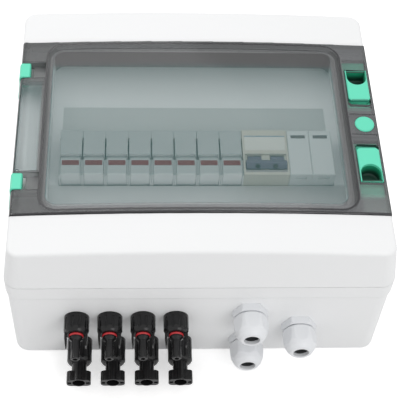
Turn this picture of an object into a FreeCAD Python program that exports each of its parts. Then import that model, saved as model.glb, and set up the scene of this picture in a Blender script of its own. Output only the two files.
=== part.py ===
import FreeCAD, Part
import math
import os
import re
import Sketcher

# Solar combiner box, lying on its back: +Z comes out of the front, +Y points up the wall,
# the cable entries are in the -Y wall, and the origin is the middle of the back face.

SIZES = {
    # housing: a base and a screwed-on front cover that meet at a parting line
    "box_wide": 300.0,
    "box_tall": 260.0,
    "split_height": 100.0,
    "rim_band": 15.0,
    "rim_step": 1.0,
    "corner_radius": 12.0,
    "wall": 3.0,
    "floor_thick": 3.0,
    "foot_round": 2.5,
    "cover_high": 36.7,
    "side_draft": 5.3,
    "front_corner_radius": 9.0,
    "front_round": 2.5,
    "crown": 4.0,
    "cover_wall": 4.0,
    "cover_skin": 3.5,
    "seam_gap": 0.3,
    # bay for the door, and the collar round the device opening
    "door_margin": 36.3,
    "bay_gap": 0.5,
    "ledge_depth": 10.7,
    "ledge_thick": 3.5,
    "side_lip_wide": 1.8,
    "strip_left": 31.8,
    "strip_right": 34.4,
    "strip_end": 8.4,
    "opening_radius": 9.0,
    "collar_wall": 2.5,
    "collar_gap": 0.8,
    "plate_depth": 18.7,
    "plate_thick": 2.5,
    # clear door
    "door_proud": 1.5,
    "door_skin": 3.0,
    "door_skirt": 2.2,
    "door_side_skirt": 1.8,
    "skirt_lift": 2.5,
    "door_edge_round": 1.0,
    "rib_thick": 2.2,
    "rib_gap": 1.2,
    "seal_height": 3.0,
    "seal_gap": 0.3,
    # hinges
    "hinge_inset": 3.3,
    "barrel_radius": 3.3,
    "hinge_margin": 31.4,
    "hinge_lean": 0.8,
    "hinge_notch": 16.8,
    "hinge_block_wide": 14.6,
    "hinge_pocket_depth": 5.3,
    "hinge_pocket_floor": 2.1,
    "hinge_swing": 6.9,
    "hinge_wall": 1.8,
    "pin_radius": 1.3,
    "pin_fit": 0.05,
    "pin_length": 24.0,
    "clip_drop": 14.0,
    "clip_thick": 2.3,
    "clip_proud": 0.4,
    # latches and lock plug in the right-hand strip
    "latch_inset": 11.6,
    "latch_wide": 17.8,
    "latch_inner": 25.0,
    "latch_outer": 58.0,
    "latch_rise": 3.5,
    "latch_travel": 4.0,
    "latch_fit": 0.5,
    "latch_end_fit": 0.8,
    "tongue_inner": 8.0,
    "tongue_outer": 12.4,
    "tongue_thick": 2.5,
    "tongue_sink": 1.8,
    "scoop_wide": 16.2,
    "scoop_long": 16.5,
    "scoop_wall": 1.2,
    "scoop_lip": 1.7,
    "scoop_lift": 0.8,
    "latch_corner": 2.0,
    "hook_start": 0.2,
    "hook_wide": 6.0,
    "hook_thick": 3.0,
    "hook_toe": 1.5,
    "toe_tall": 2.4,
    "hook_lift": 0.8,
    "keeper_fit": 0.4,
    "keeper_nose": 1.5,
    "keeper_thick": 3.0,
    "keeper_wide": 9.0,
    "keeper_gap": 0.9,
    "keeper_lip": 1.9,
    "guide_wide": 3.0,
    "guide_thick": 2.5,
    "slide_gap": 0.3,
    "plug_inset": 10.7,
    "plug_radius": 7.8,
    "plug_head": 1.6,
    "plug_rise": 1.5,
    "plug_shank_radius": 6.2,
    "plug_shank_long": 8.0,
    "plug_web": 11.0,
    "web_thick": 1.6,
    # cover screws and wall fixing holes
    "screw_inset": 10.7,
    "screw_margin": 9.4,
    "post_radius": 4.5,
    "screw_radius": 2.0,
    "screw_fit": 0.3,
    "screw_head_radius": 3.4,
    "screw_head": 2.4,
    "screw_grip": 14.0,
    "fixing_inset": 25.0,
    "fixing_radius": 2.6,
    # mounting rail for the devices
    "rail_y": -23.5,
    "rail_wide": 35.0,
    "rail_channel": 27.0,
    "rail_depth": 60.0,
    "rail_deep": 7.5,
    "rail_sheet": 1.0,
    "rail_spare": 3.52,
    "pillar_inset": 65.0,
    "pillar_radius": 6.0,
    # row of devices
    "row_margin_left": 8.2,
    "row_margin_right": 8.64,
    "device_gap": 0.2,
    "device_tall": 80.0,
    "device_hang": 4.0,
    "shoulder_depth": 17.0,
    "nose_tall": 45.0,
    "nose_sink": 4.7,
    "clip_fit": 0.3,
    "clip_catch": 1.2,
    "slot_fit": 0.5,
    # fuse holders and their carriers
    "cheek": 1.2,
    "carrier_fit": 0.2,
    "grip_y": 5.3,
    "grip_groove": 4.0,
    "grip_depth": 3.0,
    "pivot_inset": 2.0,
    "pivot_depth": 6.0,
    "trunnion_radius": 1.2,
    "fuse_radius": 5.15,
    "fuse_long": 38.0,
    "fuse_depth": 32.0,
    "fuse_fit": 0.15,
    "cradle_wall": 1.2,
    "carrier_swing": 12.0,
    "carrier_room": 1.0,
    "side_groove": 0.5,
    "side_groove_deep": 9.0,
    "corner_notch": 2.2,
    "corner_notch_long": 3.2,
    # switch lever of the two-pole breaker
    "lever_drop": 7.5,
    "lever_depth": 4.5,
    "lever_reach": 9.3,
    "lever_thick": 4.0,
    "lever_tilt": 55.0,
    "lever_wide": 10.6,
    "lever_margin": 4.16,
    "lever_cam": 5.2,
    "lever_saddle": 4.25,
    "lever_bar_start": 4.6,
    "lever_bar_rise": 4.0,
    "lever_fit": 0.3,
    # surge protector
    "cartridge_tall": 44.0,
    "cartridge_fit": 0.15,
    "window_wide": 11.6,
    "window_tall": 3.4,
    "window_deep": 0.8,
    # cable glands with 20 mm thread
    "gland_left_inset": 110.2,
    "gland_right_inset": 69.4,
    "gland_drop": 22.0,
    "gland_low_z": 21.0,
    "gland_flats": 24.5,
    "gland_flange": 6.0,
    "gland_thread_radius": 10.0,
    "gland_hole_fit": 0.2,
    "gland_bore": 6.2,
    "gland_long": 26.0,
    "gland_seam": 0.8,
    "gland_bevel": 1.5,
    "locknut_thick": 4.0,
    # plug-in connectors: upper row with probe and fingers, lower row with a shell
    "upper_inset": 53.6,
    "upper_pitch": 26.0,
    "upper_drop": 30.0,
    "lower_inset": 54.6,
    "lower_pitch": 27.0,
    "lower_z": 17.5,
    "connector_thread": 6.0,
    "connector_hole_fit": 0.15,
    "connector_core": 7.2,
    "connector_tail": 13.0,
    "nut_radius": 9.9,
    "nut_long": 15.5,
    "nut_dome": 3.5,
    "lower_nut_long": 21.0,
    "lower_nut_dome": 2.4,
    "nut_fit": 0.1,
    "probe_radius": 3.5,
    "probe_long": 21.0,
    "contact_bore": 1.8,
    "ring_radius": 4.9,
    "ring_cord": 1.0,
    "probe_hub": 5.3,
    "finger_x": 8.1,
    "finger_thick": 1.8,
    "finger_wide": 5.0,
    "finger_long": 11.0,
    "finger_tip": 0.9,
    "shell_radius": 6.0,
    "shell_bore": 5.0,
    "head_wide": 19.3,
    "head_tall": 10.4,
    "head_long": 8.5,
    "head_overhang": 1.3,
    "key_hole": 3.0,
    # copper comb and earth bar
    "comb_depth": 37.0,
    "comb_thick": 1.5,
    "comb_tall": 9.0,
    "prong_wide": 6.0,
    "prong_long": 7.0,
    "prong_fit": 0.3,
    "earth_x": 0.0,
    "earth_inset": 38.0,
    "earth_long": 84.0,
    "earth_wide": 9.0,
    "earth_high": 8.0,
    "earth_seat": 14.0,
    "earth_boss": 4.5,
    "earth_screw": 2.0,
}

# Sizes that follow from the ones above.
DERIVED = {
    "front_height": "split_height + cover_high",
    "front_wide": "box_wide - 2 * side_draft",
    "front_tall": "box_tall - 2 * side_draft",
    "door_tall": "front_tall - 2 * door_margin",
    "ledge_height": "front_height - ledge_depth",
    "opening_left": "box_wide / 2 - strip_left",
    "opening_right": "box_wide / 2 - strip_right",
    "opening_tall": "door_tall - 2 * strip_end",
    "plate_height": "front_height - plate_depth",
    "door_skirt_base": "ledge_height + skirt_lift",
    "crown_radius": "(front_wide ^ 2 / 4 + crown ^ 2) / (2 * crown)",
    "crown_centre": "front_height + crown - crown_radius",
    "side_slope": "side_draft / cover_high",
    "base_wide": "box_wide - 2 * rim_step",
    "base_tall": "box_tall - 2 * rim_step",
    "entry_wall": "-base_tall / 2",
    "work_top": "front_height + crown + door_proud + 3",
    "door_half_wide": "front_wide / 2",
    "door_half_tall": "door_tall / 2",
    "bay_half_tall": "door_half_tall + bay_gap",
    "hinge_spacing": "door_tall - 2 * hinge_margin",
    "hinge_x": "hinge_inset - door_half_wide",
    "hinge_z": "crown_centre + door_proud + sqrt(crown_radius ^ 2 - hinge_x ^ 2) - barrel_radius",
    "lip_height": "hinge_z - barrel_radius - slide_gap",
    "rib_base": "ledge_height + seal_height + seal_gap",
    "collar_outer": "collar_wall + rib_gap",
    "rib_outer": "collar_outer + rib_thick",
    "clip_foot": "ledge_height - clip_drop",
    "latch_x": "door_half_wide - latch_inset",
    "latch_top": "front_height + latch_rise",
    "tongue_top": "front_height - tongue_sink",
    "tongue_base": "tongue_top - tongue_thick",
    "scoop_centre": "latch_outer - scoop_long + scoop_wide / 2",
    "scoop_base": "ledge_height + scoop_lift",
    "hook_y": "latch_inner + hook_start",
    "hook_base": "ledge_height + hook_lift",
    "toe_y": "hook_y + hook_thick + hook_toe",
    "plug_x": "door_half_wide - plug_inset",
    "plug_seat": "front_height + plug_rise",
    "screw_x": "front_wide / 2 - screw_inset",
    "screw_y": "door_half_tall - screw_margin",
    "fixing_x": "box_wide / 2 - fixing_inset",
    "fixing_y": "box_tall / 2 - fixing_inset",
    "nose_top": "front_height - nose_sink",
    "nose_half": "nose_tall / 2",
    "rail_top": "nose_top - rail_depth",
    "pillar_x": "box_wide / 2 - pillar_inset",
    "row_left": "row_margin_left - opening_left",
    "module": "(opening_left + opening_right - row_margin_left - row_margin_right) / 12",
    "device_base": "rail_top - device_hang",
    "shoulder": "nose_top - shoulder_depth",
    "pivot_height": "nose_top - pivot_depth",
    "fuse_height": "nose_top - fuse_depth",
    "lever_height": "nose_top - lever_depth",
    "lever_bar_wide": "2 * module - lever_margin",
    "surge_floor": "nose_top - cartridge_tall",
    "comb_height": "nose_top - comb_depth",
    "carrier_wide": "module - device_gap - 2 * cheek - 2 * carrier_fit",
    "pivot_y": "pivot_inset - nose_half",
    "row_right": "row_left + 12 * module",
    "breaker_x": "row_left + 9 * module",
    "surge_x": "row_left + 11 * module",
    "lever_y": "rail_y - lever_drop",
    "rail_long": "12 * module + 2 * rail_spare",
    "gland_left_x": "box_wide / 2 - gland_left_inset",
    "gland_right_x": "box_wide / 2 - gland_right_inset",
    "gland_high_z": "split_height - rim_band - gland_drop",
    "gland_mid_z": "(gland_high_z + gland_low_z) / 2",
    "gland_corner": "gland_flats / sqrt(3)",
    "upper_x": "upper_inset - box_wide / 2",
    "upper_z": "split_height - rim_band - upper_drop",
    "lower_x": "lower_inset - box_wide / 2",
    "nut_end": "nut_long + nut_fit",
    "lower_nut_end": "lower_nut_long + nut_fit",
    "connector_tip": "nut_end + 0.2 + probe_long",
    "head_tip": "connector_tip + head_overhang",
    "earth_y": "box_tall / 2 - earth_inset",
    "rib_left_edge": "-opening_left - rib_outer",
    "cradle": "fuse_radius + fuse_fit + cradle_wall",
    "fuse_near": "pivot_y + 1",
    "fuse_far": "fuse_near + fuse_long",
    "swing_top": "(fuse_far - pivot_y) * sin(carrier_swing) "
                 "- (pivot_height - fuse_height - cradle) * cos(carrier_swing)",
    "swing_far": "(fuse_far - pivot_y) * cos(carrier_swing) "
                 "+ (pivot_height - fuse_height + cradle) * sin(carrier_swing)",
}

EIGHT = range(8)
FOUR = range(4)

doc = FreeCAD.newDocument("combiner_box")
sheet = doc.addObject("Spreadsheet::Sheet", "Sizes")
for row, (alias, number) in enumerate(SIZES.items(), start=1):
    sheet.set(f"A{row}", alias)
    sheet.set(f"B{row}", str(number))
    sheet.setAlias(f"B{row}", alias)
doc.recompute()

nodes = []


def formula(text):
    """Write a size rule with the sheet's own cell names."""
    def cell(match):
        word = match.group(0)
        if word in DERIVED:
            return f"({formula(DERIVED[word])})"
        if word in SIZES:
            return f"Sizes.{word}"
        return word
    return re.sub(r"[a-z][a-z_]+", cell, str(text))


def value(text):
    return float(sheet.evalExpression(formula(text)))


def bind(item, slot, text):
    item.setExpression(slot, formula(text))


def keep(item, label):
    """Name a finished sub-part, so that it is written out."""
    item.Label = label
    nodes.append(item)
    return item


def place(item, x="0", y="0", z="0", turn=None):
    """Set a sub-part down at its seat, turned first about the X axis where asked."""
    if turn is not None:
        item.Placement.Rotation = FreeCAD.Rotation(FreeCAD.Vector(1, 0, 0), turn)
    bind(item, "Placement.Base.x", x)
    bind(item, "Placement.Base.y", y)
    bind(item, "Placement.Base.z", z)


# Bodies and their sketches.


def new_body(name):
    return doc.addObject("PartDesign::Body", name)


def new_sketch(body, plane, offset="0"):
    """Sketch on an origin plane: XY, XZ (facing -Y) or YZ (facing +X)."""
    sketch = body.newObject("Sketcher::SketchObject", "Sketch")
    origin = body.Origin.OriginFeatures
    face = next(item for item in origin if item.Role == f"{plane}_Plane")
    sketch.AttachmentSupport = [(face, "")]
    sketch.MapMode = "FlatFace"
    bind(sketch, "AttachmentOffset.Base.z", offset)
    return sketch


def pin_point(sketch, shape, corner, x, y):
    """Hold a point at its distances from the sketch's origin."""
    for kind, rule in (("DistanceX", x), ("DistanceY", y)):
        index = sketch.addConstraint(
            Sketcher.Constraint(kind, -1, 1, shape, corner, value(rule)))
        sketch.setExpression(f"Constraints[{index}]", formula(rule))


def size_radius(sketch, shape, rule):
    index = sketch.addConstraint(Sketcher.Constraint("Radius", shape, value(rule)))
    sketch.setExpression(f"Constraints[{index}]", formula(rule))


def polygon(sketch, points):
    """Closed outline of straight edges, each corner at its own rule."""
    spots = [FreeCAD.Vector(value(x), value(y), 0) for x, y in points]
    ends = spots[1:] + spots[:1]
    first = sketch.GeometryCount
    for start, end in zip(spots, ends):
        sketch.addGeometry(Part.LineSegment(start, end), False)
    count = len(points)
    for step, (x, y) in enumerate(points):
        here = first + step
        onward = first + (step + 1) % count
        sketch.addConstraint(Sketcher.Constraint("Coincident", here, 2, onward, 1))
        pin_point(sketch, here, 1, x, y)


def rectangle(sketch, left, right, low, high):
    polygon(sketch, [(left, low), (right, low), (right, high), (left, high)])


def circle(sketch, x, y, radius):
    spot = FreeCAD.Vector(value(x), value(y), 0)
    ring = Part.Circle(spot, FreeCAD.Vector(0, 0, 1), value(radius))
    shape = sketch.addGeometry(ring, False)
    pin_point(sketch, shape, 3, x, y)
    size_radius(sketch, shape, radius)


def rounded(sketch, left, right, low, high, radius):
    """Rectangle with four equal round corners."""
    west, east, south, north = value(left), value(right), value(low), value(high)
    bend = value(radius)
    centres = [(east - bend, south + bend), (east - bend, north - bend),
               (west + bend, north - bend), (west + bend, south + bend)]
    up = FreeCAD.Vector(0, 0, 1)
    arcs = []
    for step, (x, y) in enumerate(centres):
        corner = Part.Circle(FreeCAD.Vector(x, y, 0), up, bend)
        start = math.radians(90 * step - 90)
        arc = Part.ArcOfCircle(corner, start, start + math.pi / 2)
        arcs.append(sketch.addGeometry(arc, False))
    for step in range(4):
        here = arcs[step]
        onward = arcs[(step + 1) % 4]
        end = sketch.getPoint(here, 2)
        start = sketch.getPoint(onward, 1)
        side = sketch.addGeometry(Part.LineSegment(end, start), False)
        sketch.addConstraint(Sketcher.Constraint("Tangent", here, 2, side, 1))
        sketch.addConstraint(Sketcher.Constraint("Tangent", side, 2, onward, 1))
        flat = "Vertical" if step % 2 == 0 else "Horizontal"
        sketch.addConstraint(Sketcher.Constraint(flat, side))
    for arc in arcs[1:]:
        sketch.addConstraint(Sketcher.Constraint("Equal", arcs[0], arc))
    size_radius(sketch, arcs[0], radius)
    for kind, shape, corner, rule in (
            ("DistanceX", arcs[0], 2, right), ("DistanceY", arcs[1], 2, high),
            ("DistanceX", arcs[2], 2, left), ("DistanceY", arcs[3], 2, low)):
        index = sketch.addConstraint(
            Sketcher.Constraint(kind, -1, 1, shape, corner, value(rule)))
        sketch.setExpression(f"Constraints[{index}]", formula(rule))


def crowned(sketch, left, right, lift, flat):
    """Area between the crowned front, raised by lift, and a flat level."""
    radius = value("crown_radius")
    centre = value(f"crown_centre + {lift}")
    ends = []
    for rule in (left, right):
        x = value(rule)
        ends.append(FreeCAD.Vector(x, centre + math.sqrt(radius ** 2 - x ** 2), 0))
    ring = Part.Circle(FreeCAD.Vector(0, centre, 0), FreeCAD.Vector(0, 0, 1), radius)
    angles = [math.atan2(end.y - centre, end.x) for end in ends]
    arc = sketch.addGeometry(Part.ArcOfCircle(ring, angles[1], angles[0]), False)
    level = value(flat)
    corners = [FreeCAD.Vector(value(left), level, 0), FreeCAD.Vector(value(right), level, 0)]
    path = [ends[0], corners[0], corners[1], ends[1]]
    lines = []
    for start, end in zip(path, path[1:]):
        lines.append(sketch.addGeometry(Part.LineSegment(start, end), False))
    joins = [(arc, 2, lines[0], 1), (lines[0], 2, lines[1], 1),
             (lines[1], 2, lines[2], 1), (lines[2], 2, arc, 1)]
    for join in joins:
        sketch.addConstraint(Sketcher.Constraint("Coincident", *join))
    size_radius(sketch, arc, "crown_radius")
    pin_point(sketch, arc, 3, "0", f"crown_centre + {lift}")
    pin_point(sketch, lines[1], 1, left, flat)
    pin_point(sketch, lines[1], 2, right, flat)
    sketch.addConstraint(Sketcher.Constraint("Vertical", lines[0]))
    sketch.addConstraint(Sketcher.Constraint("Vertical", lines[2]))


def hexagon(sketch, flats):
    """Six-sided outline with two sides level, given across its flats."""
    points = []
    for step in range(6):
        angle = 60 * step
        points.append((f"{flats} / sqrt(3) * cos({angle})", f"{flats} / sqrt(3) * sin({angle})"))
    polygon(sketch, points)


# Features. Each one is worked out at once and has to change the body's volume.


def finish_feature(body, feature, grows):
    before = 0.0 if body.Tip is None or body.Tip.Shape.isNull() else body.Tip.Shape.Volume
    body.Tip = feature
    doc.recompute()
    change = feature.Shape.Volume - before
    if (change > 0) != grows or abs(change) < 1e-3:
        raise ValueError(f"{body.Name} {feature.Name} changes the volume by {change:.4f}")
    return feature


def solid_step(body, kind, sketch, length, symmetric, backward, grows):
    before = body.Tip
    feature = body.newObject(kind, kind.split("::")[1])
    body.Tip = before
    feature.Profile = sketch
    feature.SideType = "Symmetric" if symmetric else "One side"
    feature.Reversed = backward
    feature.Refine = True
    bind(feature, "Length", length)
    sketch.Visibility = False
    return finish_feature(body, feature, grows)


def pad(body, sketch, length, symmetric=False, backward=False):
    return solid_step(body, "PartDesign::Pad", sketch, length, symmetric, backward, True)


def pocket(body, sketch, length, symmetric=False, backward=False):
    return solid_step(body, "PartDesign::Pocket", sketch, length, symmetric, backward, False)


def turned(body, sketch, cut=False):
    """Turn a profile about its sketch's upright axis."""
    before = body.Tip
    kind = "Groove" if cut else "Revolution"
    feature = body.newObject(f"PartDesign::{kind}", kind)
    body.Tip = before
    feature.Profile = sketch
    feature.ReferenceAxis = (sketch, ["V_Axis"])
    feature.Angle = 360.0
    sketch.Visibility = False
    return finish_feature(body, feature, not cut)


def loft(body, sketches, cut=False):
    before = body.Tip
    kind = "SubtractiveLoft" if cut else "AdditiveLoft"
    feature = body.newObject(f"PartDesign::{kind}", kind)
    body.Tip = before
    feature.Profile = sketches[0]
    feature.Sections = sketches[1:]
    feature.Ruled = True
    return finish_feature(body, feature, not cut)


def repeat_round(body, feature, count):
    """Repeat one cut evenly round the body's upright axis."""
    before = body.Tip
    ring = body.newObject("PartDesign::PolarPattern", "PolarPattern")
    ring.Originals = [feature]
    axis = next(item for item in body.Origin.OriginFeatures if item.Role == "Z_Axis")
    ring.Axis = (axis, [""])
    ring.Angle = 360.0
    ring.Occurrences = count
    body.Tip = before
    return finish_feature(body, ring, False)


def round_edges(body, wanted, radius, bevel=False):
    """Round, or bevel, the edges that the given test picks."""
    base = body.Tip
    names = [f"Edge{step}" for step, edge in enumerate(base.Shape.Edges, start=1) if wanted(edge)]
    kind = "Chamfer" if bevel else "Fillet"
    feature = body.newObject(f"PartDesign::{kind}", kind)
    body.Tip = base
    feature.Base = (base, names)
    bind(feature, "Size" if bevel else "Radius", radius)
    return finish_feature(body, feature, False)


def upright(edge):
    box = edge.BoundBox
    return box.ZLength > 1e-3 and box.XLength < 1e-3 and box.YLength < 1e-3


def level(edge, height, spread=1e-3):
    box = edge.BoundBox
    return abs(box.ZMin - height) < spread and abs(box.ZMax - height) < spread


def block(body, left, right, low, high, base, top, cut=False):
    """Upright block between two levels, added or cut away."""
    sketch = new_sketch(body, "XY", base)
    rectangle(sketch, left, right, low, high)
    height = f"({top}) - ({base})"
    if cut:
        return pocket(body, sketch, height, backward=True)
    return pad(body, sketch, height)


def rounded_block(body, sides, radius, base, top, cut=False):
    sketch = new_sketch(body, "XY", base)
    rounded(sketch, *sides, radius)
    height = f"({top}) - ({base})"
    if cut:
        return pocket(body, sketch, height, backward=True)
    return pad(body, sketch, height)


def rods(body, spots, radius, base, top, cut=False):
    """Round posts or holes between two levels."""
    sketch = new_sketch(body, "XY", base)
    for x, y in spots:
        circle(sketch, x, y, radius)
    height = f"({top}) - ({base})"
    if cut:
        return pocket(body, sketch, height, backward=True)
    return pad(body, sketch, height)


def ring_sides(grow):
    """Sides of the device opening, moved outward by a distance."""
    return (f"-opening_left - ({grow})", f"opening_right + ({grow})",
            f"-opening_tall / 2 - ({grow})", f"opening_tall / 2 + ({grow})")


def mirrored_spots(x, y):
    return [(f"{side} * {x}", f"{end} * {y}") for side in (-1, 1) for end in (-1, 1)]


# Housing.

UPPER_SPOTS = [(f"upper_x + {k} * upper_pitch", "upper_z") for k in FOUR]
LOWER_SPOTS = [(f"lower_x + {k} * lower_pitch", "lower_z") for k in FOUR]
GLAND_SPOTS = [("gland_left_x", "gland_high_z"), ("gland_right_x", "gland_mid_z"),
               ("gland_left_x", "gland_low_z")]
EARTH_POSTS = [(f"earth_x + {side} * (earth_long / 2 - earth_boss)", "earth_y") for side in (-1, 1)]
PILLARS = [(f"{side} * pillar_x", "rail_y") for side in (-1, 1)]


def base_box():
    """Deep tray with a proud rim band, screw posts, rail pillars and cable entry holes."""
    body = new_body("base_box")
    sides = ("-base_wide / 2", "base_wide / 2", "-base_tall / 2", "base_tall / 2")
    rounded_block(body, sides, "corner_radius - rim_step", "0", "split_height")
    rim = ("-box_wide / 2", "box_wide / 2", "-box_tall / 2", "box_tall / 2")
    rounded_block(body, rim, "corner_radius", "split_height - rim_band", "split_height")
    round_edges(body, lambda edge: level(edge, 0.0), "foot_round")
    hollow = ("wall - base_wide / 2", "base_wide / 2 - wall",
              "wall - base_tall / 2", "base_tall / 2 - wall")
    rounded_block(body, hollow, "corner_radius - rim_step - wall", "floor_thick",
                  "split_height + 1", cut=True)
    rods(body, mirrored_spots("screw_x", "screw_y"), "post_radius", "floor_thick", "split_height")
    rods(body, PILLARS, "pillar_radius", "floor_thick", "rail_top - rail_deep")
    rods(body, EARTH_POSTS, "earth_boss", "floor_thick", "earth_seat")
    rods(body, mirrored_spots("screw_x", "screw_y"), "screw_radius + screw_fit",
         "split_height - screw_grip - 2", "split_height + 1", cut=True)
    rods(body, PILLARS, "screw_radius + screw_fit", "rail_top - rail_deep - 10",
         "rail_top - rail_deep + 1", cut=True)
    rods(body, EARTH_POSTS, "earth_screw + screw_fit", "floor_thick + 2", "earth_seat + 1", cut=True)
    rods(body, mirrored_spots("fixing_x", "fixing_y"), "fixing_radius", "-1",
         "floor_thick + 1", cut=True)
    entries = new_sketch(body, "XZ", "base_tall / 2 - wall - 1")
    for x, z in UPPER_SPOTS + LOWER_SPOTS:
        circle(entries, x, z, "connector_thread + connector_hole_fit")
    for x, z in GLAND_SPOTS:
        circle(entries, x, z, "gland_thread_radius + gland_hole_fit")
    pocket(body, entries, "wall + 2", backward=True)
    keep(body, "base_box")


def wall_x(height):
    """Distance of the cover's sloping side wall from the middle, at a height."""
    return f"(box_wide / 2 - (({height}) - split_height) * side_slope)"


def cover_outline(body, height, inset, radius):
    """Outline of the cover at a level, drawn in by a wall where asked."""
    rise = f"(({height}) - split_height)"
    half_wide = f"(box_wide / 2 - {rise} * side_slope - {inset})"
    half_tall = f"(box_tall / 2 - {rise} * side_slope - {inset})"
    sketch = new_sketch(body, "XY", height)
    rounded(sketch, f"-{half_wide}", half_wide, f"-{half_tall}", half_tall, radius)
    return sketch


def cut_crown(body, lift, length, left="-box_wide / 2 - 5", right="box_wide / 2 + 5"):
    sketch = new_sketch(body, "XZ")
    crowned(sketch, left, right, lift, "work_top + 8")
    pocket(body, sketch, length, symmetric=True)


def bay_cut(body, half_wide, base):
    """Lower the door's bay all round the collar."""
    sketch = new_sketch(body, "XY", base)
    rectangle(sketch, f"-({half_wide})", half_wide, "-bay_half_tall", "bay_half_tall")
    rounded(sketch, *ring_sides("collar_wall"), "opening_radius + collar_wall")
    pocket(body, sketch, f"work_top - ({base})", backward=True)


def clip_recess(body, side):
    """Slot in the left wall for a hinge block's clip."""
    sketch = new_sketch(body, "XZ", f"hinge_lean - {side} * hinge_spacing / 2")
    foot = "clip_foot - slide_gap"
    head = "lip_height + 1"
    lip = f"side_lip_wide + slide_gap - {wall_x('lip_height')}"
    polygon(sketch, [(f"-{wall_x(foot)} - 3", foot), (f"clip_thick - {wall_x(foot)}", foot),
                     (f"clip_thick - {wall_x('ledge_height')}", "ledge_height"),
                     (lip, "ledge_height"), (lip, head), (f"-{wall_x(head)} - 3", head)])
    pocket(body, sketch, "hinge_block_wide + 2 * slide_gap", symmetric=True)


def front_cover():
    """Front moulding: crowned face, sunk bay for the door, collar and device plate."""
    body = new_body("front_cover")
    low = "split_height + seam_gap"
    loft(body, [cover_outline(body, low, "0", "corner_radius"),
                cover_outline(body, "work_top", "0", "front_corner_radius")])
    cut_crown(body, "0", "box_tall + 20")
    face = value("front_height") - 1.0

    def front_edge(edge):
        box = edge.BoundBox
        return box.ZMin > face and box.ZLength < value("crown") + 1.0

    round_edges(body, front_edge, "front_round")
    skin = "front_height - cover_skin"
    loft(body, [cover_outline(body, low, "cover_wall", "corner_radius - cover_wall"),
                cover_outline(body, skin, "cover_wall", "front_corner_radius - cover_wall")],
         cut=True)
    inside = "front_wide / 2 - cover_wall / 2"
    block(body, f"-({inside})", inside, "-bay_half_tall - cover_skin", "bay_half_tall + cover_skin",
          "ledge_height - ledge_thick", f"{skin} + 0.5")
    rounded_block(body, ring_sides("collar_wall"), "opening_radius + collar_wall",
                  "plate_height - plate_thick", "ledge_height")
    posts = mirrored_spots("screw_x", "screw_y")
    rods(body, posts, "post_radius", low, "ledge_height - ledge_thick / 2")
    bay_cut(body, "box_wide / 2 + 5", "lip_height")
    bay_cut(body, f"{wall_x('lip_height')} - side_lip_wide", "ledge_height")
    cut_crown(body, "door_proud - door_skin - collar_gap", "2 * bay_half_tall - 0.02",
              "-opening_left - collar_wall - 1", "opening_right + collar_wall + 1")
    rounded_block(body, ring_sides("0"), "opening_radius", "plate_height", "work_top", cut=True)
    block(body, "row_left - slot_fit", "row_right + slot_fit",
          "rail_y - nose_half - slot_fit", "rail_y + nose_half + slot_fit",
          "plate_height - plate_thick - 1", "plate_height + 1", cut=True)
    rods(body, posts, "screw_radius + screw_fit", f"{low} - 1", "ledge_height + 1", cut=True)
    for side in (-1, 1):
        clip_recess(body, side)
    keep(body, "front_cover")


def cover_gasket():
    """Flat seal inside the parting line, between the base rim and the cover."""
    body = new_body("cover_gasket")
    sketch = new_sketch(body, "XY", "split_height")
    outer = "wall / 2"
    inner = "wall"
    for inset, bend in ((outer, "corner_radius - wall / 2"), (inner, "corner_radius - wall")):
        rounded(sketch, f"{inset} - box_wide / 2", f"box_wide / 2 - {inset}",
                f"{inset} - box_tall / 2", f"box_tall / 2 - {inset}", bend)
    pad(body, sketch, "seam_gap")
    keep(body, "cover_gasket")


def headed_screw(x, y, seat, grip, head_radius, head, shank):
    """Round-headed screw, head on its seat and shank below it."""
    top = doc.addObject("Part::Cylinder", "ScrewHead")
    bind(top, "Radius", head_radius)
    bind(top, "Height", head)
    place(top, x, y, seat)
    stem = doc.addObject("Part::Cylinder", "ScrewShank")
    bind(stem, "Radius", shank)
    bind(stem, "Height", grip)
    place(stem, x, y, f"({seat}) - ({grip})")
    slot = doc.addObject("Part::Box", "ScrewSlot")
    bind(slot, "Length", f"{head_radius} * 1.3")
    bind(slot, "Width", f"{head_radius} / 4")
    bind(slot, "Height", head)
    place(slot, f"{x} - {head_radius} * 0.65", f"{y} - {head_radius} / 8", f"{seat} + {head} / 2")
    whole = doc.addObject("Part::Fuse", "ScrewBlank")
    whole.Base = top
    whole.Tool = stem
    screw = doc.addObject("Part::Cut", "Screw")
    screw.Base = whole
    screw.Tool = slot
    return screw


def grouped(items, label):
    """Keep like pieces together as one group of separate solids."""
    group = doc.addObject("Part::Compound", label)
    group.Links = items
    keep(group, label)


def cover_screws():
    screws = [headed_screw(x, y, "ledge_height", "ledge_height - split_height + screw_grip",
                           "screw_head_radius", "screw_head", "screw_radius")
              for x, y in mirrored_spots("screw_x", "screw_y")]
    grouped(screws, "cover_screws")


# Door with its hinges, latches and lock plug.


def latch_window(side):
    """Corners of the bevelled window in the door round one latch."""
    left = "latch_x - latch_wide / 2 - latch_fit"
    right = "latch_x + latch_wide / 2 + latch_fit"
    inner = "latch_inner - latch_travel"
    outer = "latch_outer + latch_end_fit"
    cut = "latch_corner"
    ring = [(left, f"{inner} + {cut}"), (f"{left} + {cut}", inner), (f"{right} - {cut}", inner),
            (right, f"{inner} + {cut}"), (right, outer), (left, outer)]
    return [(x, f"{side} * ({y})") for x, y in ring]


def side_span(side, near, far):
    """Low and high end of a stretch on the upper or the lower half."""
    if side > 0:
        return near, far
    return f"-({far})", f"-({near})"


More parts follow.
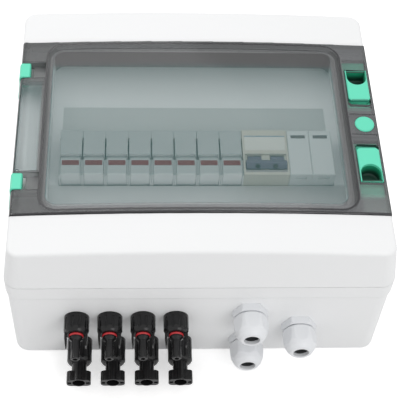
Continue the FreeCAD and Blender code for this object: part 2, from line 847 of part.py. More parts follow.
def door():
    """Smoke-tinted cover: crowned skin, skirt, sealing rib, hinge barrel and latch guides."""
    body = new_body("door")
    block(body, "hinge_x", "door_half_wide", "-door_half_tall", "door_half_tall",
          "door_skirt_base", "work_top")
    under = new_sketch(body, "XZ")
    crowned(under, "hinge_x - 1", "door_half_wide - door_side_skirt", "door_proud - door_skin",
            "door_skirt_base - 1")
    pocket(body, under, "door_tall - 2 * door_skirt", symmetric=True)
    for side in (-1, 1):
        low, high = side_span(side, "door_half_tall - door_skirt - 0.01", "door_half_tall + 1")
        block(body, "hinge_x - 1", "hinge_x + barrel_radius", low, high, "door_skirt_base - 1",
              "hinge_z", cut=True)
    rib = new_sketch(body, "XY", "rib_base")
    rounded(rib, *ring_sides("rib_outer"), "opening_radius + rib_outer")
    rounded(rib, *ring_sides("collar_outer"), "opening_radius + collar_outer")
    pad(body, rib, "work_top - rib_base")
    rib_left = "-opening_left - rib_outer + rib_thick / 2"
    rib_right = "opening_right + rib_outer - rib_thick / 2"
    skirt = "door_half_wide - door_side_skirt / 2"
    floor_top = "front_height + door_proud - hinge_pocket_depth"
    for side in (-1, 1):
        middle = f"{side} * hinge_spacing / 2"
        block(body, "hinge_x", rib_left, f"{middle} - hinge_notch / 2 - hinge_wall",
              f"{middle} + hinge_notch / 2 + hinge_wall",
              f"{floor_top} - hinge_pocket_floor", "work_top")
        low, high = side_span(side, "plug_web", "plug_web + web_thick")
        block(body, rib_right, skirt, low, high, "rib_base", "work_top")
        for near in ("latch_inner - tongue_inner + 0.5", "latch_outer + 3"):
            low, high = side_span(side, near, f"{near} + guide_wide")
            block(body, rib_right, skirt, low, high, "tongue_base - slide_gap - guide_thick",
                  "tongue_base - slide_gap")
    block(body, "door_half_wide - door_side_skirt - 0.01", "door_half_wide + 1",
          "-door_half_tall - 1", "door_half_tall + 1", "door_skirt_base - 1",
          "lip_height + slide_gap", cut=True)
    cut_crown(body, "door_proud", "box_tall + 20")
    end = value("door_half_tall")
    rim = value("door_half_wide")

    def outer_edge(edge):
        box = edge.BoundBox
        at_end = abs(abs(box.YMax) - end) < 1e-3 and box.YLength < 1e-3 and box.XLength > 50
        at_rim = abs(box.XMin - rim) < 1e-3 and box.XLength < 1e-3 and box.YLength > 50
        return box.ZMin > value("front_height") - 1 and (at_end or at_rim)

    round_edges(body, outer_edge, "door_edge_round")
    barrel = new_sketch(body, "XZ")
    circle(barrel, "hinge_x", "hinge_z", "barrel_radius")
    pad(body, barrel, "door_tall", symmetric=True)
    for side in (-1, 1):
        middle = f"{side} * hinge_spacing / 2"
        low = f"{middle} - hinge_notch / 2"
        high = f"{middle} + hinge_notch / 2"
        block(body, "-box_wide / 2 - 2", "rib_left_edge", low, high, floor_top, "work_top", cut=True)
        block(body, "-box_wide / 2 - 2", "hinge_x + hinge_swing", low, high,
              "door_skirt_base - 1", "work_top", cut=True)
    for side in (-1, 1):
        bore = new_sketch(body, "XZ", f"{side} * hinge_spacing / 2")
        circle(bore, "hinge_x", "hinge_z", "pin_radius + pin_fit")
        pocket(body, bore, "pin_length + 1", symmetric=True)
    windows = new_sketch(body, "XY", "tongue_base - slide_gap")
    for side in (-1, 1):
        polygon(windows, latch_window(side))
    circle(windows, "plug_x", "0", "plug_shank_radius + screw_fit")
    pocket(body, windows, "work_top - tongue_base + slide_gap", backward=True)
    rods(body, [("plug_x", "0")], "plug_radius + slide_gap", "plug_seat", "work_top", cut=True)
    keep(body, "door")


def door_seal():
    """Foam seal lying in the moat round the collar, under the door's rib."""
    body = new_body("door_seal")
    sketch = new_sketch(body, "XY", "ledge_height")
    rounded(sketch, *ring_sides("rib_outer"), "opening_radius + rib_outer")
    rounded(sketch, *ring_sides("collar_wall + 0.1"), "opening_radius + collar_wall + 0.1")
    pad(body, sketch, "seal_height")
    keep(body, "door_seal")


def lock_plug():
    """Blanking plug for the lock hole: domed head and hollow shank."""
    body = new_body("lock_plug")
    profile = new_sketch(body, "XZ")
    polygon(profile, [("plug_shank_radius - 1.4", "-plug_shank_long"),
                      ("plug_shank_radius", "-plug_shank_long"), ("plug_shank_radius", "0"),
                      ("plug_radius", "0"), ("plug_radius", "plug_head * 0.6"),
                      ("plug_radius - 0.7", "plug_head"), ("0", "plug_head"),
                      ("0", "-0.6"), ("plug_shank_radius - 1.4", "-0.6")])
    turned(body, profile)
    place(body, "plug_x", "0", "plug_seat")
    keep(body, "lock_plug")


def hinge_block(side, label):
    """Hinge block: rounded head round the pin, and a clip down the cover's left wall."""
    body = new_body(label)
    seat = "ledge_height + slide_gap"
    profile = new_sketch(body, "XZ")
    polygon(profile, [
        (f"-{wall_x('clip_foot')} - clip_proud", "clip_foot"),
        (f"-{wall_x('lip_height')} - clip_proud", "lip_height"),
        ("hinge_x - barrel_radius - 0.9", "hinge_z + 1.6"),
        ("hinge_x - barrel_radius + 0.7", "hinge_z + barrel_radius + 0.9"),
        ("hinge_x + 4.1", "hinge_z + barrel_radius + 0.9"),
        ("hinge_x + 4.9", "hinge_z + barrel_radius"),
        ("hinge_x + 4.9", "hinge_z - 3"),
        ("hinge_x + 2.5", seat),
        (f"clip_thick - {wall_x(seat)} - slide_gap", seat),
        (f"clip_thick - {wall_x('clip_foot')} - slide_gap", "clip_foot")])
    pad(body, profile, "hinge_block_wide", symmetric=True)
    bore = new_sketch(body, "XZ")
    circle(bore, "hinge_x", "hinge_z", "pin_radius + pin_fit")
    pocket(body, bore, "hinge_block_wide + 2", symmetric=True)
    place(body, "0", f"{side} * hinge_spacing / 2 - hinge_lean", "0")
    keep(body, label)


def hinge_pins():
    pins = []
    for side in (-1, 1):
        pin = doc.addObject("Part::Cylinder", "HingePin")
        bind(pin, "Radius", "pin_radius")
        bind(pin, "Height", "pin_length")
        place(pin, "hinge_x", f"{side} * hinge_spacing / 2 + pin_length / 2", "hinge_z", turn=90)
        pins.append(pin)
    grouped(pins, "hinge_pins")


def latch(side, label):
    """Slide latch: raised block with a finger scoop, a thin base plate and a hook."""
    body = new_body(label)
    left = "latch_x - latch_wide / 2"
    right = "latch_x + latch_wide / 2"
    low, high = side_span(side, "latch_inner - tongue_inner", "latch_outer + tongue_outer")
    block(body, f"{left} - 1.2", f"{right} + 0.3", low, high, "tongue_base", "tongue_top")
    sketch = new_sketch(body, "XY", "tongue_base")
    cut = "latch_corner"
    ring = [(left, f"latch_inner + {cut}"), (f"{left} + {cut}", "latch_inner"),
            (f"{right} - {cut}", "latch_inner"), (right, f"latch_inner + {cut}"),
            (right, "latch_outer"), (left, "latch_outer")]
    polygon(sketch, [(x, f"{side} * ({y})") for x, y in ring])
    pad(body, sketch, "latch_top - tongue_base")
    top = value("latch_top")
    round_edges(body, lambda edge: level(edge, top), "0.8", bevel=True)
    middle = f"{side} * scoop_centre"
    wide = "scoop_wide / 2 + scoop_wall"
    rods(body, [("latch_x", middle)], wide, "scoop_base", "tongue_top")
    low, high = side_span(side, "scoop_centre", "latch_outer")
    block(body, f"latch_x - ({wide})", f"latch_x + {wide}", low, high, "scoop_base", "tongue_top")
    rods(body, [("latch_x", middle)], "scoop_wide / 2", "scoop_base - 1", "latch_top + 1", cut=True)
    low, high = side_span(side, "scoop_centre", "latch_outer - scoop_wall")
    block(body, "latch_x - scoop_wide / 2", "latch_x + scoop_wide / 2", low, high,
          "scoop_base - 1", "latch_top + 1", cut=True)
    low, high = side_span(side, "latch_outer - scoop_wall - 0.5", "latch_outer + 1")
    block(body, "latch_x - scoop_wide / 2", "latch_x + scoop_wide / 2", low, high,
          "latch_top - scoop_lip", "latch_top + 1", cut=True)
    low, high = side_span(side, "hook_y", "hook_y + hook_thick")
    block(body, "latch_x - hook_wide / 2", "latch_x + hook_wide / 2", low, high, "hook_base",
          "tongue_base")
    low, high = side_span(side, "hook_y + hook_thick", "toe_y")
    block(body, "latch_x - hook_wide / 2", "latch_x + hook_wide / 2", low, high, "hook_base",
          "hook_base + toe_tall")
    keep(body, label)


def latch_keepers():
    """Keepers on the cover's ledge: an upright with a nose over the hook's toe."""
    keepers = []
    for side in (-1, 1):
        body = new_body("Keeper")
        profile = new_sketch(body, "YZ")
        top = "tongue_base - keeper_gap"
        near = "toe_y + keeper_fit"
        upright_y = f"{near} + keeper_nose"
        ring = [(upright_y, "ledge_height"), (f"{upright_y} + keeper_thick", "ledge_height"),
                (f"{upright_y} + keeper_thick", top), (near, top), (near, f"{top} - keeper_lip"),
                (upright_y, f"{top} - keeper_lip")]
        polygon(profile, [(f"{side} * ({y})", z) for y, z in ring])
        pad(body, profile, "keeper_wide", symmetric=True)
        place(body, "latch_x", "0", "0")
        keepers.append(body)
    grouped(keepers, "latch_keepers")


# Rail and the devices on it. A device's own frame has its rail centre at y = 0.


def din_rail():
    """Top-hat rail, folded from one strip of steel."""
    body = new_body("din_rail")
    half = "rail_wide / 2"
    wall_y = "rail_channel / 2"
    sheet_y = "rail_channel / 2 - rail_sheet"
    low = "rail_top - rail_deep"
    right = [(sheet_y, "rail_top - 0"), (half, "rail_top"), (half, "rail_top - rail_sheet"),
             (wall_y, "rail_top - rail_sheet"), (wall_y, low)]
    left = [(f"-({y})", z) for y, z in reversed(right)]
    profile = new_sketch(body, "YZ")
    polygon(profile, right + left + [(f"-({sheet_y})", f"{low} + rail_sheet"),
                                     (sheet_y, f"{low} + rail_sheet")])
    pad(body, profile, "rail_long", symmetric=True)
    rods(body, [(f"{side} * pillar_x - (row_left + row_right) / 2", "0") for side in (-1, 1)],
         "screw_radius + screw_fit", f"{low} - 1", f"{low} + rail_sheet + 1", cut=True)
    place(body, "(row_left + row_right) / 2", "rail_y", "0")
    keep(body, "din_rail")


def rail_screws():
    seat = "rail_top - rail_deep + rail_sheet"
    screws = [headed_screw(x, y, seat, "9", "screw_head_radius", "screw_head", "screw_radius")
              for x, y in PILLARS]
    grouped(screws, "rail_screws")


def device_outline(top):
    """Side view of a rail device: rail clip, terminal shoulders and raised nose."""
    half = "device_tall / 2"
    flange = "rail_wide / 2 + clip_fit"
    catch = "rail_wide / 2 - clip_catch"
    under = "rail_top - rail_sheet - clip_fit - 0.1"
    over = "rail_top + clip_fit / 2"
    right = [(catch, "device_base"), (half, "device_base"), (half, "shoulder"),
             ("nose_half", "shoulder"), ("nose_half", top)]
    left = [(f"-({y})", z) for y, z in reversed(right)]
    return right + left + [(f"-({catch})", under), (f"-({flange})", under), (f"-({flange})", over),
                           (flange, over), (flange, under), (catch, under)]


def device_body(label, modules, top="nose_top"):
    body = new_body(label)
    profile = new_sketch(body, "YZ")
    polygon(profile, device_outline(top))
    pad(body, profile, f"{modules} * module - device_gap", symmetric=True)
    return body


def corner_notches(body):
    """Three-cornered notches on both sides, at the upper end of the carrier's lip."""
    notches = new_sketch(body, "XY", "nose_top - side_groove_deep")
    for side in (-1, 1):
        inner = f"{side} * (module / 2 - corner_notch)"
        outer = f"{side} * (module / 2 + 0.5)"
        polygon(notches, [(outer, "-grip_y - corner_notch_long"), (inner, "-grip_y"),
                          (outer, "-grip_y + corner_notch_long")])
    pocket(body, notches, "side_groove_deep + 1", backward=True)


def fuse_holder(step):
    """Fuse holder housing: side cheeks, cavity for the carrier and slot for the comb."""
    label = f"fuse_holder_{step + 1}"
    body = device_body(label, 1, "nose_top - 1")
    cavity = new_sketch(body, "YZ")
    near = "-nose_half + 0.8"
    roof = "pivot_height + swing_top + carrier_room"
    floor = "fuse_height - cradle - carrier_room"
    far = "pivot_y + swing_far + carrier_room"
    polygon(cavity, [("-nose_half - 1", "shoulder + 0.5"), ("-nose_half - 1", "nose_top + 1"),
                     ("-grip_y + grip_groove", "nose_top + 1"),
                     ("-grip_y + grip_groove", "nose_top - 1 - grip_depth"),
                     ("-grip_y", "nose_top - 1 - grip_depth"), ("-grip_y", roof), (far, roof),
                     (far, floor), (near, floor), (near, "shoulder + 0.5")])
    pocket(body, cavity, "carrier_wide + 2 * carrier_fit", symmetric=True)
    bore = new_sketch(body, "YZ")
    circle(bore, "pivot_y", "pivot_height", "trunnion_radius + pin_fit")
    pocket(body, bore, "module", symmetric=True)
    for side in (-1, 1):
        low, high = side_span(side, "module / 2 - device_gap / 2 - side_groove", "module")
        block(body, low, high, "-grip_y", "nose_half - 8", "nose_top - side_groove_deep",
              "nose_top + 1", cut=True)
    corner_notches(body)
    block(body, "-prong_wide / 2 - prong_fit", "prong_wide / 2 + prong_fit",
          "-device_tall / 2 - 1", "prong_long + prong_fit - device_tall / 2",
          "comb_height - comb_thick / 2 - prong_fit", "comb_height + comb_thick / 2 + prong_fit",
          cut=True)
    place(body, f"row_left + ({step} + 0.5) * module", "rail_y", "0")
    keep(body, label)


def fuse_carrier(step):
    """Swing-out carrier with its grip lip, trunnions and the fuse link that it holds."""
    label = f"fuse_carrier_{step + 1}"
    body = new_body("CarrierMoulding")
    profile = new_sketch(body, "YZ")
    polygon(profile, [("-nose_half + 0.3", "nose_top - 8"), ("-nose_half + 0.3", "nose_top - 0.8"),
                      ("-nose_half + 1.1", "nose_top"), ("-grip_y - 1.2", "nose_top"),
                      ("-grip_y - 0.3", "nose_top - 0.9"), ("-grip_y - 0.3", "nose_top - 3"),
                      ("-grip_y - 2.3", "nose_top - 5"), ("-grip_y - 6", "shoulder + 6"),
                      ("-grip_y - 9", "shoulder"), ("-grip_y - 9", "fuse_height + cradle"),
                      ("fuse_far", "fuse_height + cradle"), ("fuse_far", "fuse_height - cradle"),
                      ("pivot_y + 0.5", "fuse_height - cradle"), ("pivot_y + 0.5", "shoulder"),
                      ("-nose_half + 1.2", "shoulder + 2")])
    pad(body, profile, "carrier_wide", symmetric=True)
    corner_notches(body)
    trunnion = new_sketch(body, "YZ")
    circle(trunnion, "pivot_y", "pivot_height", "trunnion_radius")
    pad(body, trunnion, "carrier_wide + 2 * carrier_fit + 2 * cheek - 0.4", symmetric=True)
    bore = new_sketch(body, "XZ", "-fuse_near")
    circle(bore, "0", "fuse_height", "fuse_radius + fuse_fit")
    pocket(body, bore, "fuse_long + 1")
    link = doc.addObject("Part::Cylinder", "FuseLink")
    bind(link, "Radius", "fuse_radius")
    bind(link, "Height", "fuse_long - 0.2")
    place(link, "0", "fuse_far", "fuse_height", turn=90)
    both = doc.addObject("Part::Compound", "Carrier")
    both.Links = [body, link]
    place(both, f"row_left + ({step} + 0.5) * module", "rail_y", "0")
    keep(both, label)


def fuse_comb():
    """Copper comb that joins the eight holders, one prong in each."""
    body = new_body("fuse_comb")
    edge = "rail_y - device_tall / 2 - slide_gap"
    block(body, "row_left + module / 4", "row_left + 7.75 * module", f"{edge} - comb_thick", edge,
          "comb_height - comb_tall / 2", "comb_height + comb_tall / 2")
    prongs = new_sketch(body, "XY", "comb_height - comb_thick / 2")
    for step in EIGHT:
        middle = f"row_left + ({step} + 0.5) * module"
        rectangle(prongs, f"{middle} - prong_wide / 2", f"{middle} + prong_wide / 2",
                  edge, f"{edge} + prong_long")
    pad(body, prongs, "comb_thick")
    keep(body, "fuse_comb")


def breaker_body():
    """Two-pole breaker housing: a trough for the tie bar, and a slot for each lever."""
    body = device_body("breaker_body", 2)
    trough = new_sketch(body, "YZ")
    reach = "(lever_reach + 0.9)"
    back = "(lever_cam + lever_fit + 0.4)"
    saddle = "lever_saddle"
    polygon(trough, [(f"-lever_drop - {reach}", "nose_top + 1"),
                     (f"-lever_drop - {reach}", "lever_height + 1.2"),
                     ("-lever_drop - lever_cam - 0.3", "lever_height - 2"),
                     (f"-lever_drop - {saddle}", "lever_height - 2"),
                     (f"-lever_drop - {saddle}", "lever_height"),
                     (f"-lever_drop - {saddle} * 0.7", f"lever_height + {saddle} * 0.7"),
                     ("-lever_drop", f"lever_height + {saddle}"),
                     (f"-lever_drop + {saddle} * 0.73", f"lever_height + {saddle} * 0.68"),
                     (f"-lever_drop + {back}", f"lever_height + {saddle} * 0.68"),
                     (f"-lever_drop + {back}", "nose_top + 1")])
    pocket(body, trough, "lever_bar_wide + 1", symmetric=True)
    round_fit = "(lever_cam + lever_fit)"
    for side in (-1, 1):
        slot = new_sketch(body, "YZ", f"{side} * module / 2")
        polygon(slot, [(f"-lever_drop - {round_fit}", "nose_top + 1"),
                       (f"-lever_drop - {round_fit}", f"lever_height - {round_fit}"),
                       (f"-lever_drop + {round_fit}", f"lever_height - {round_fit}"),
                       (f"-lever_drop + {round_fit}", "nose_top + 1")])
        pocket(body, slot, "lever_wide + 2 * lever_fit", symmetric=True)
    groove = new_sketch(body, "YZ")
    rectangle(groove, "device_tall / 2 - 14", "device_tall / 2 - 12", "shoulder - 2", "shoulder + 1")
    pocket(body, groove, "2 * module", symmetric=True)
    place(body, "breaker_x", "rail_y", "0")
    keep(body, "breaker_body")


def tilted(corners):
    """Corners of a lever's side view, turned to the position that the lever rests in."""
    return [(f"({y}) * cos(lever_tilt) - ({z}) * sin(lever_tilt)",
             f"({y}) * sin(lever_tilt) + ({z}) * cos(lever_tilt)") for y, z in corners]


def breaker_toggle():
    """Two levers on round cams, joined by a tie bar, resting in the off position."""
    body = new_body("breaker_toggle")
    half = "lever_thick / 2"
    bar = new_sketch(body, "YZ")
    polygon(bar, tilted([(f"-({half})", "lever_bar_start"), ("lever_bar_rise", "lever_bar_start"),
                         ("lever_bar_rise", "lever_reach - 1.2"),
                         ("lever_bar_rise - 1.2", "lever_reach"),
                         (f"-({half})", "lever_reach")]))
    pad(body, bar, "lever_bar_wide", symmetric=True)
    for side in (-1, 1):
        cam = new_sketch(body, "YZ", f"{side} * module / 2")
        circle(cam, "0", "0", "lever_cam")
        pad(body, cam, "lever_wide", symmetric=True)
    place(body, "breaker_x", "lever_y", "lever_height")
    keep(body, "breaker_toggle")


def surge_base():
    """Base of the surge protector: two terminal towers with a bay between them."""
    body = device_body("surge_base", 2, "shoulder + 4")
    bay = new_sketch(body, "YZ")
    rectangle(bay, "-nose_half", "nose_half", "surge_floor", "nose_top + 1")
    pocket(body, bay, "2 * module", symmetric=True)
    place(body, "surge_x", "rail_y", "0")
    keep(body, "surge_base")


def surge_cartridge(side, label):
    """Plug-in cartridge with a small status window."""
    body = new_body(label)
    half = "module / 2 - cartridge_fit / 2 - device_gap / 4"
    end = "nose_half - cartridge_fit"
    block(body, f"-({half})", half, f"-({end})", end, "surge_floor", "nose_top")
    top = value("nose_top")
    round_edges(body, lambda edge: level(edge, top), "0.6", bevel=True)
    block(body, "-window_wide / 2", "window_wide / 2", "nose_half - 5 - window_tall",
          "nose_half - 5", "nose_top - window_deep", "nose_top + 1", cut=True)
    block(body, "-module / 4", "module / 4", "-nose_half - 1", "1.6 - nose_half",
          "nose_top - 6", "nose_top - 3", cut=True)
    place(body, f"surge_x + {side} * (module - device_gap / 2) / 2", "rail_y", "0")
    keep(body, label)


def earth_bar():
    """Drilled brass bar on two bosses in the base."""
    body = new_body("earth_bar")
    block(body, "-earth_long / 2", "earth_long / 2", "-earth_wide / 2", "earth_wide / 2", "0",
          "earth_high")
    wires = new_sketch(body, "XZ")
    for step in range(6):
        circle(wires, f"({step} - 2.5) * earth_long / 8", "earth_high / 2", "2.2")
    pocket(body, wires, "earth_wide + 2", symmetric=True)
    rods(body, [(f"{side} * (earth_long / 2 - earth_boss)", "0") for side in (-1, 1)],
         "earth_screw + screw_fit", "-1", "earth_high + 1", cut=True)
    place(body, "earth_x", "earth_y", "earth_seat")
    keep(body, "earth_bar")


def earth_bar_screws():
    seat = "earth_seat + earth_high"
    screws = [headed_screw(x, y, seat, "earth_high + 7", "earth_screw + 1.6", "screw_head",
                           "earth_screw") for x, y in EARTH_POSTS]
    grouped(screws, "earth_bar_screws")


# Cable glands. Their own frame has z = 0 on the outside of the wall, z pointing out.


def seat_on_wall(item, x, z):
    place(item, x, "entry_wall", z, turn=90)


def gland_body(step):
    """Threaded stem with a six-sided flange and a through bore."""
    label = f"gland_body_{step + 1}"
    body = new_body(label)
    flange = new_sketch(body, "XY")
    hexagon(flange, "gland_flats")
    pad(body, flange, "gland_flange")
    bevel = new_sketch(body, "XZ")
    polygon(bevel, [("gland_flats / 2 + 0.3", "gland_flange"), ("gland_corner + 0.2", "gland_flange - gland_bevel"),
                    ("gland_corner + 1", "gland_flange - gland_bevel"),
                    ("gland_corner + 1", "gland_flange + 0.5"),
                    ("gland_flats / 2 + 0.3", "gland_flange + 0.5")])
    turned(body, bevel, cut=True)
    neck = "gland_flange + gland_seam + 6"
    rods(body, [("0", "0")], "gland_thread_radius", "-wall - 9", neck)
    rods(body, [("0", "0")], "gland_bore + 0.8", "-wall - 10", f"{neck} + 1", cut=True)
    x, z = GLAND_SPOTS[step]
    seat_on_wall(body, x, z)
    keep(body, label)


def gland_nut(step):
    """Domed clamping nut: six flats under a turned dome."""
    label = f"gland_nut_{step + 1}"
    body = new_body(label)
    base = "gland_flange + gland_seam"
    grip = new_sketch(body, "XY", base)
    hexagon(grip, "gland_flats")
    pad(body, grip, f"gland_long - ({base})")
    dome = new_sketch(body, "XZ")
    wide = "gland_corner + 2"
    polygon(dome, [("gland_flats / 2 + 0.1", f"{base} - 1"), ("gland_flats / 2 + 0.1", base),
                   ("gland_flats / 2 + 1.3", f"{base} + gland_bevel"),
                   ("gland_flats / 2 + 1.2", "gland_long - 11"),
                   ("gland_flats / 2 + 0.6", "gland_long - 7"), ("gland_flats / 2 - 1.2", "gland_long - 3"),
                   ("gland_bore + 2.8", "gland_long - 0.6"), ("gland_bore + 2.0", "gland_long"),
                   ("gland_bore + 2.0", "gland_long + 1"),
                   (wide, "gland_long + 1"), (wide, f"{base} - 1")])
    turned(body, dome, cut=True)
    rods(body, [("0", "0")], "gland_thread_radius + pin_fit", f"{base} - 1",
         "gland_flange + gland_seam + 6.4", cut=True)
    rods(body, [("0", "0")], "gland_bore + 2.2", f"{base} + 6",
         "gland_long - 3", cut=True)
    rods(body, [("0", "0")], "gland_bore", "gland_long - 4", "gland_long + 1", cut=True)
    x, z = GLAND_SPOTS[step]
    seat_on_wall(body, x, z)
    keep(body, label)


def tube(name, outer, inner, base, top, x, z):
    """Ring seated on the cable entry wall."""
    outside = doc.addObject("Part::Cylinder", "Outer")
    bind(outside, "Radius", outer)
    bind(outside, "Height", f"({top}) - ({base})")
    bind(outside, "Placement.Base.z", base)
    inside = doc.addObject("Part::Cylinder", "Inner")
    bind(inside, "Radius", inner)
    bind(inside, "Height", f"({top}) - ({base}) + 2")
    bind(inside, "Placement.Base.z", f"({base}) - 1")
    ring = doc.addObject("Part::Cut", name)
    ring.Base = outside
    ring.Tool = inside
    seat_on_wall(ring, x, z)
    return ring


def gland_seals():
    seals = [tube("GlandSeal", "gland_bore + 2.1", "gland_bore - 0.4",
                  "gland_flange + gland_seam + 6.1", "gland_long - 3.1", x, z)
             for x, z in GLAND_SPOTS]
    grouped(seals, "gland_seals")


def lock_nut(name, flats, bore, x, z):
    """Six-sided nut behind the entry wall."""
    blank = doc.addObject("Part::Prism", "NutBlank")
    blank.Polygon = 6
    bind(blank, "Circumradius", f"({flats}) / sqrt(3)")
    bind(blank, "Height", "locknut_thick")
    bind(blank, "Placement.Base.z", "-wall - locknut_thick")
    hole = doc.addObject("Part::Cylinder", "NutHole")
    bind(hole, "Radius", bore)
    bind(hole, "Height", "locknut_thick + 2")
    bind(hole, "Placement.Base.z", "-wall - locknut_thick - 1")
    nut = doc.addObject("Part::Cut", name)
    nut.Base = blank
    nut.Tool = hole
    seat_on_wall(nut, x, z)
    return nut


def locknuts():
    glands = [lock_nut("GlandLocknut", "gland_flats", "gland_thread_radius + pin_fit", x, z)
              for x, z in GLAND_SPOTS]
    grouped(glands, "gland_locknuts")
    small = [lock_nut("ConnectorLocknut", "2.6 * connector_thread", "connector_thread + pin_fit", x, z)
             for x, z in UPPER_SPOTS + LOWER_SPOTS]
    grouped(small, "connector_locknuts")


# Plug-in connectors, in the same kind of frame as the glands.


def upper_connector(step):
    """Connector with a ringed probe and two latch fingers."""
    label = f"upper_connector_{step + 1}"
    body = new_body(label)
    profile = new_sketch(body, "XZ")
    seat = "nut_end + 0.2"
    ring_seat = "ring_radius - ring_cord - 0.05"
    polygon(profile, [("0", "-wall - connector_tail"), ("connector_thread", "-wall - connector_tail"),
                      ("connector_thread", "0"), ("connector_core", "0"), ("connector_core", seat),
                      (ring_seat, seat), (ring_seat, f"{seat} + 2 * ring_cord + 0.1"),
                      ("probe_hub", f"{seat} + 2 * ring_cord + 0.1"),
                      ("probe_hub", f"{seat} + 2 * ring_cord + 1.6"),
                      ("probe_radius", f"{seat} + 2 * ring_cord + 3.2"),
                      ("probe_radius", f"{seat} + probe_long - 0.6"),
                      ("probe_radius - 0.6", f"{seat} + probe_long"),
                      ("contact_bore", f"{seat} + probe_long"),
                      ("contact_bore", f"{seat} + probe_long - 9"),
                      ("0", f"{seat} + probe_long - 9")])
    turned(body, profile)
    fingers = new_sketch(body, "XY", f"{seat} - 2")
    for side in (-1, 1):
        inner = f"{side} * (connector_core - 1)"
        outer = f"{side} * (finger_x + finger_thick / 2)"
        left, right = (inner, outer) if side > 0 else (outer, inner)
        rectangle(fingers, left, right, "-finger_wide / 2", "finger_wide / 2")
    pad(body, fingers, "2")
    for side in (-1, 1):
        inner = f"{side} * (finger_x - finger_thick / 2)"
        outer = f"{side} * (finger_x + finger_thick / 2)"
        tip = f"{side} * (finger_x + finger_thick / 2 - finger_tip)"
        prong = new_sketch(body, "XZ")
        polygon(prong, [(inner, f"{seat} - 0.01"), (outer, f"{seat} - 0.01"), (outer, f"{seat} + 3"),
                        (tip, f"{seat} + finger_long"), (inner, f"{seat} + finger_long - 1")])
        pad(body, prong, "finger_wide", symmetric=True)
    x, z = UPPER_SPOTS[step]
    seat_on_wall(body, x, z)
    keep(body, label)


def lower_connector(step):
    """Mating connector: round shell with a winged head, socket and two key holes."""
    label = f"lower_connector_{step + 1}"
    body = new_body(label)
    seat = "lower_nut_end + 0.2"
    tip = "head_tip"
    profile = new_sketch(body, "XZ")
    polygon(profile, [("0", "-wall - connector_tail"), ("connector_thread", "-wall - connector_tail"),
                      ("connector_thread", "0"), ("connector_core", "0"), ("connector_core", seat),
                      ("shell_radius", seat), ("shell_radius", tip), ("0", tip)])
    turned(body, profile)
    wings = ("-head_wide / 2", "head_wide / 2", "-head_tall / 2", "head_tall / 2")
    rounded_block(body, wings, "head_tall * 0.34", f"{tip} - head_long", tip)
    rods(body, [("0", "0")], "shell_bore", f"{tip} - 14", f"{tip} + 1", cut=True)
    keys = new_sketch(body, "XY", f"{tip} - head_long - 1")
    for side in (-1, 1):
        middle = f"{side} * (shell_bore + head_wide / 2) / 2"
        rectangle(keys, f"{middle} - key_hole / 2", f"{middle} + key_hole / 2", "-key_hole / 2",
                  "key_hole / 2")
    pocket(body, keys, "head_long + 2", backward=True)
    x, z = LOWER_SPOTS[step]
    seat_on_wall(body, x, z)
    keep(body, label)


def connector_nut(name, spot, end, dome_tall, slotted):
    """Ribbed coupling nut with a rounded outer end."""
    body = new_body(name)
    profile = new_sketch(body, "XZ")
    bore = "connector_core + nut_fit"
    polygon(profile, [(bore, "nut_fit"), ("nut_radius", "nut_fit"),
                      ("nut_radius", f"{end} - {dome_tall}"),
                      ("nut_radius - 0.9", f"{end} - {dome_tall} * 0.35"),
                      (f"{bore} + 0.5", end), (bore, end)])
    turned(body, profile)
    flute = new_sketch(body, "XY", "nut_fit + 3")
    circle(flute, "nut_radius + 0.9", "0", "1.6")
    groove = pocket(body, flute, end, backward=True)
    repeat_round(body, groove, 10)
    if slotted:
        gaps = new_sketch(body, "XY", f"{end} - 2.2")
        for side in (-1, 1):
            inner = f"{side} * (connector_core - 2)"
            outer = f"{side} * (finger_x + finger_thick / 2 + nut_fit)"
            left, right = (inner, outer) if side > 0 else (outer, inner)
            rectangle(gaps, left, right, "-finger_wide / 2 - nut_fit", "finger_wide / 2 + nut_fit")
        pocket(body, gaps, "3", backward=True)
    seat_on_wall(body, *spot)
    return body


def connector_nuts():
    upper = [connector_nut("UpperNut", spot, "nut_end", "nut_dome", True) for spot in UPPER_SPOTS]
    grouped(upper, "upper_connector_nuts")
    lower = [connector_nut("LowerNut", spot, "lower_nut_end", "lower_nut_dome", False)
             for spot in LOWER_SPOTS]
    grouped(lower, "lower_connector_nuts")


def seal_rings():
    rings = []
    for x, z in UPPER_SPOTS:
        ring = doc.addObject("Part::Torus", "SealRing")
        bind(ring, "Radius1", "ring_radius")
        bind(ring, "Radius2", "ring_cord")
        place(ring, x, "entry_wall - (nut_end + 0.2 + ring_cord)", z, turn=90)
        rings.append(ring)
    grouped(rings, "seal_rings")


def check_document():
    """Stop if a feature failed or a sub-part has no sound solid."""
    doc.recompute()
    for item in doc.Objects:
        if {"Invalid", "Error"} & set(item.State):
            raise ValueError(f"{item.Label} is {item.State}")
    for item in nodes:
        if item.Shape.isNull() or not item.Shape.isValid():
            raise ValueError(f"{item.Label} has no valid shape")


def write_parts():
    os.makedirs("parts", exist_ok=True)
    for item in nodes:
        item.Shape.exportStep(f"parts/{item.Label}.step")
    print(len(nodes), "sub-parts written")


base_box()
front_cover()
cover_gasket()
cover_screws()
door()
door_seal()
lock_plug()
for side, name in ((1, "upper"), (-1, "lower")):
    hinge_block(side, f"hinge_block_{name}")
    latch(side, f"latch_{name}")
latch_keepers()
hinge_pins()
din_rail()
rail_screws()
for step in EIGHT:
    fuse_holder(step)
    fuse_carrier(step)
fuse_comb()
breaker_body()
breaker_toggle()
surge_base()
surge_cartridge(-1, "surge_cartridge_left")
surge_cartridge(1, "surge_cartridge_right")
earth_bar()
earth_bar_screws()
for step in range(3):
    gland_body(step)
    gland_nut(step)
gland_seals()
locknuts()
for step in FOUR:
    upper_connector(step)
    lower_connector(step)
connector_nuts()
seal_rings()
check_document()
write_parts()
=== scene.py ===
import math

import bmesh
import bpy
from mathutils import Matrix, Vector


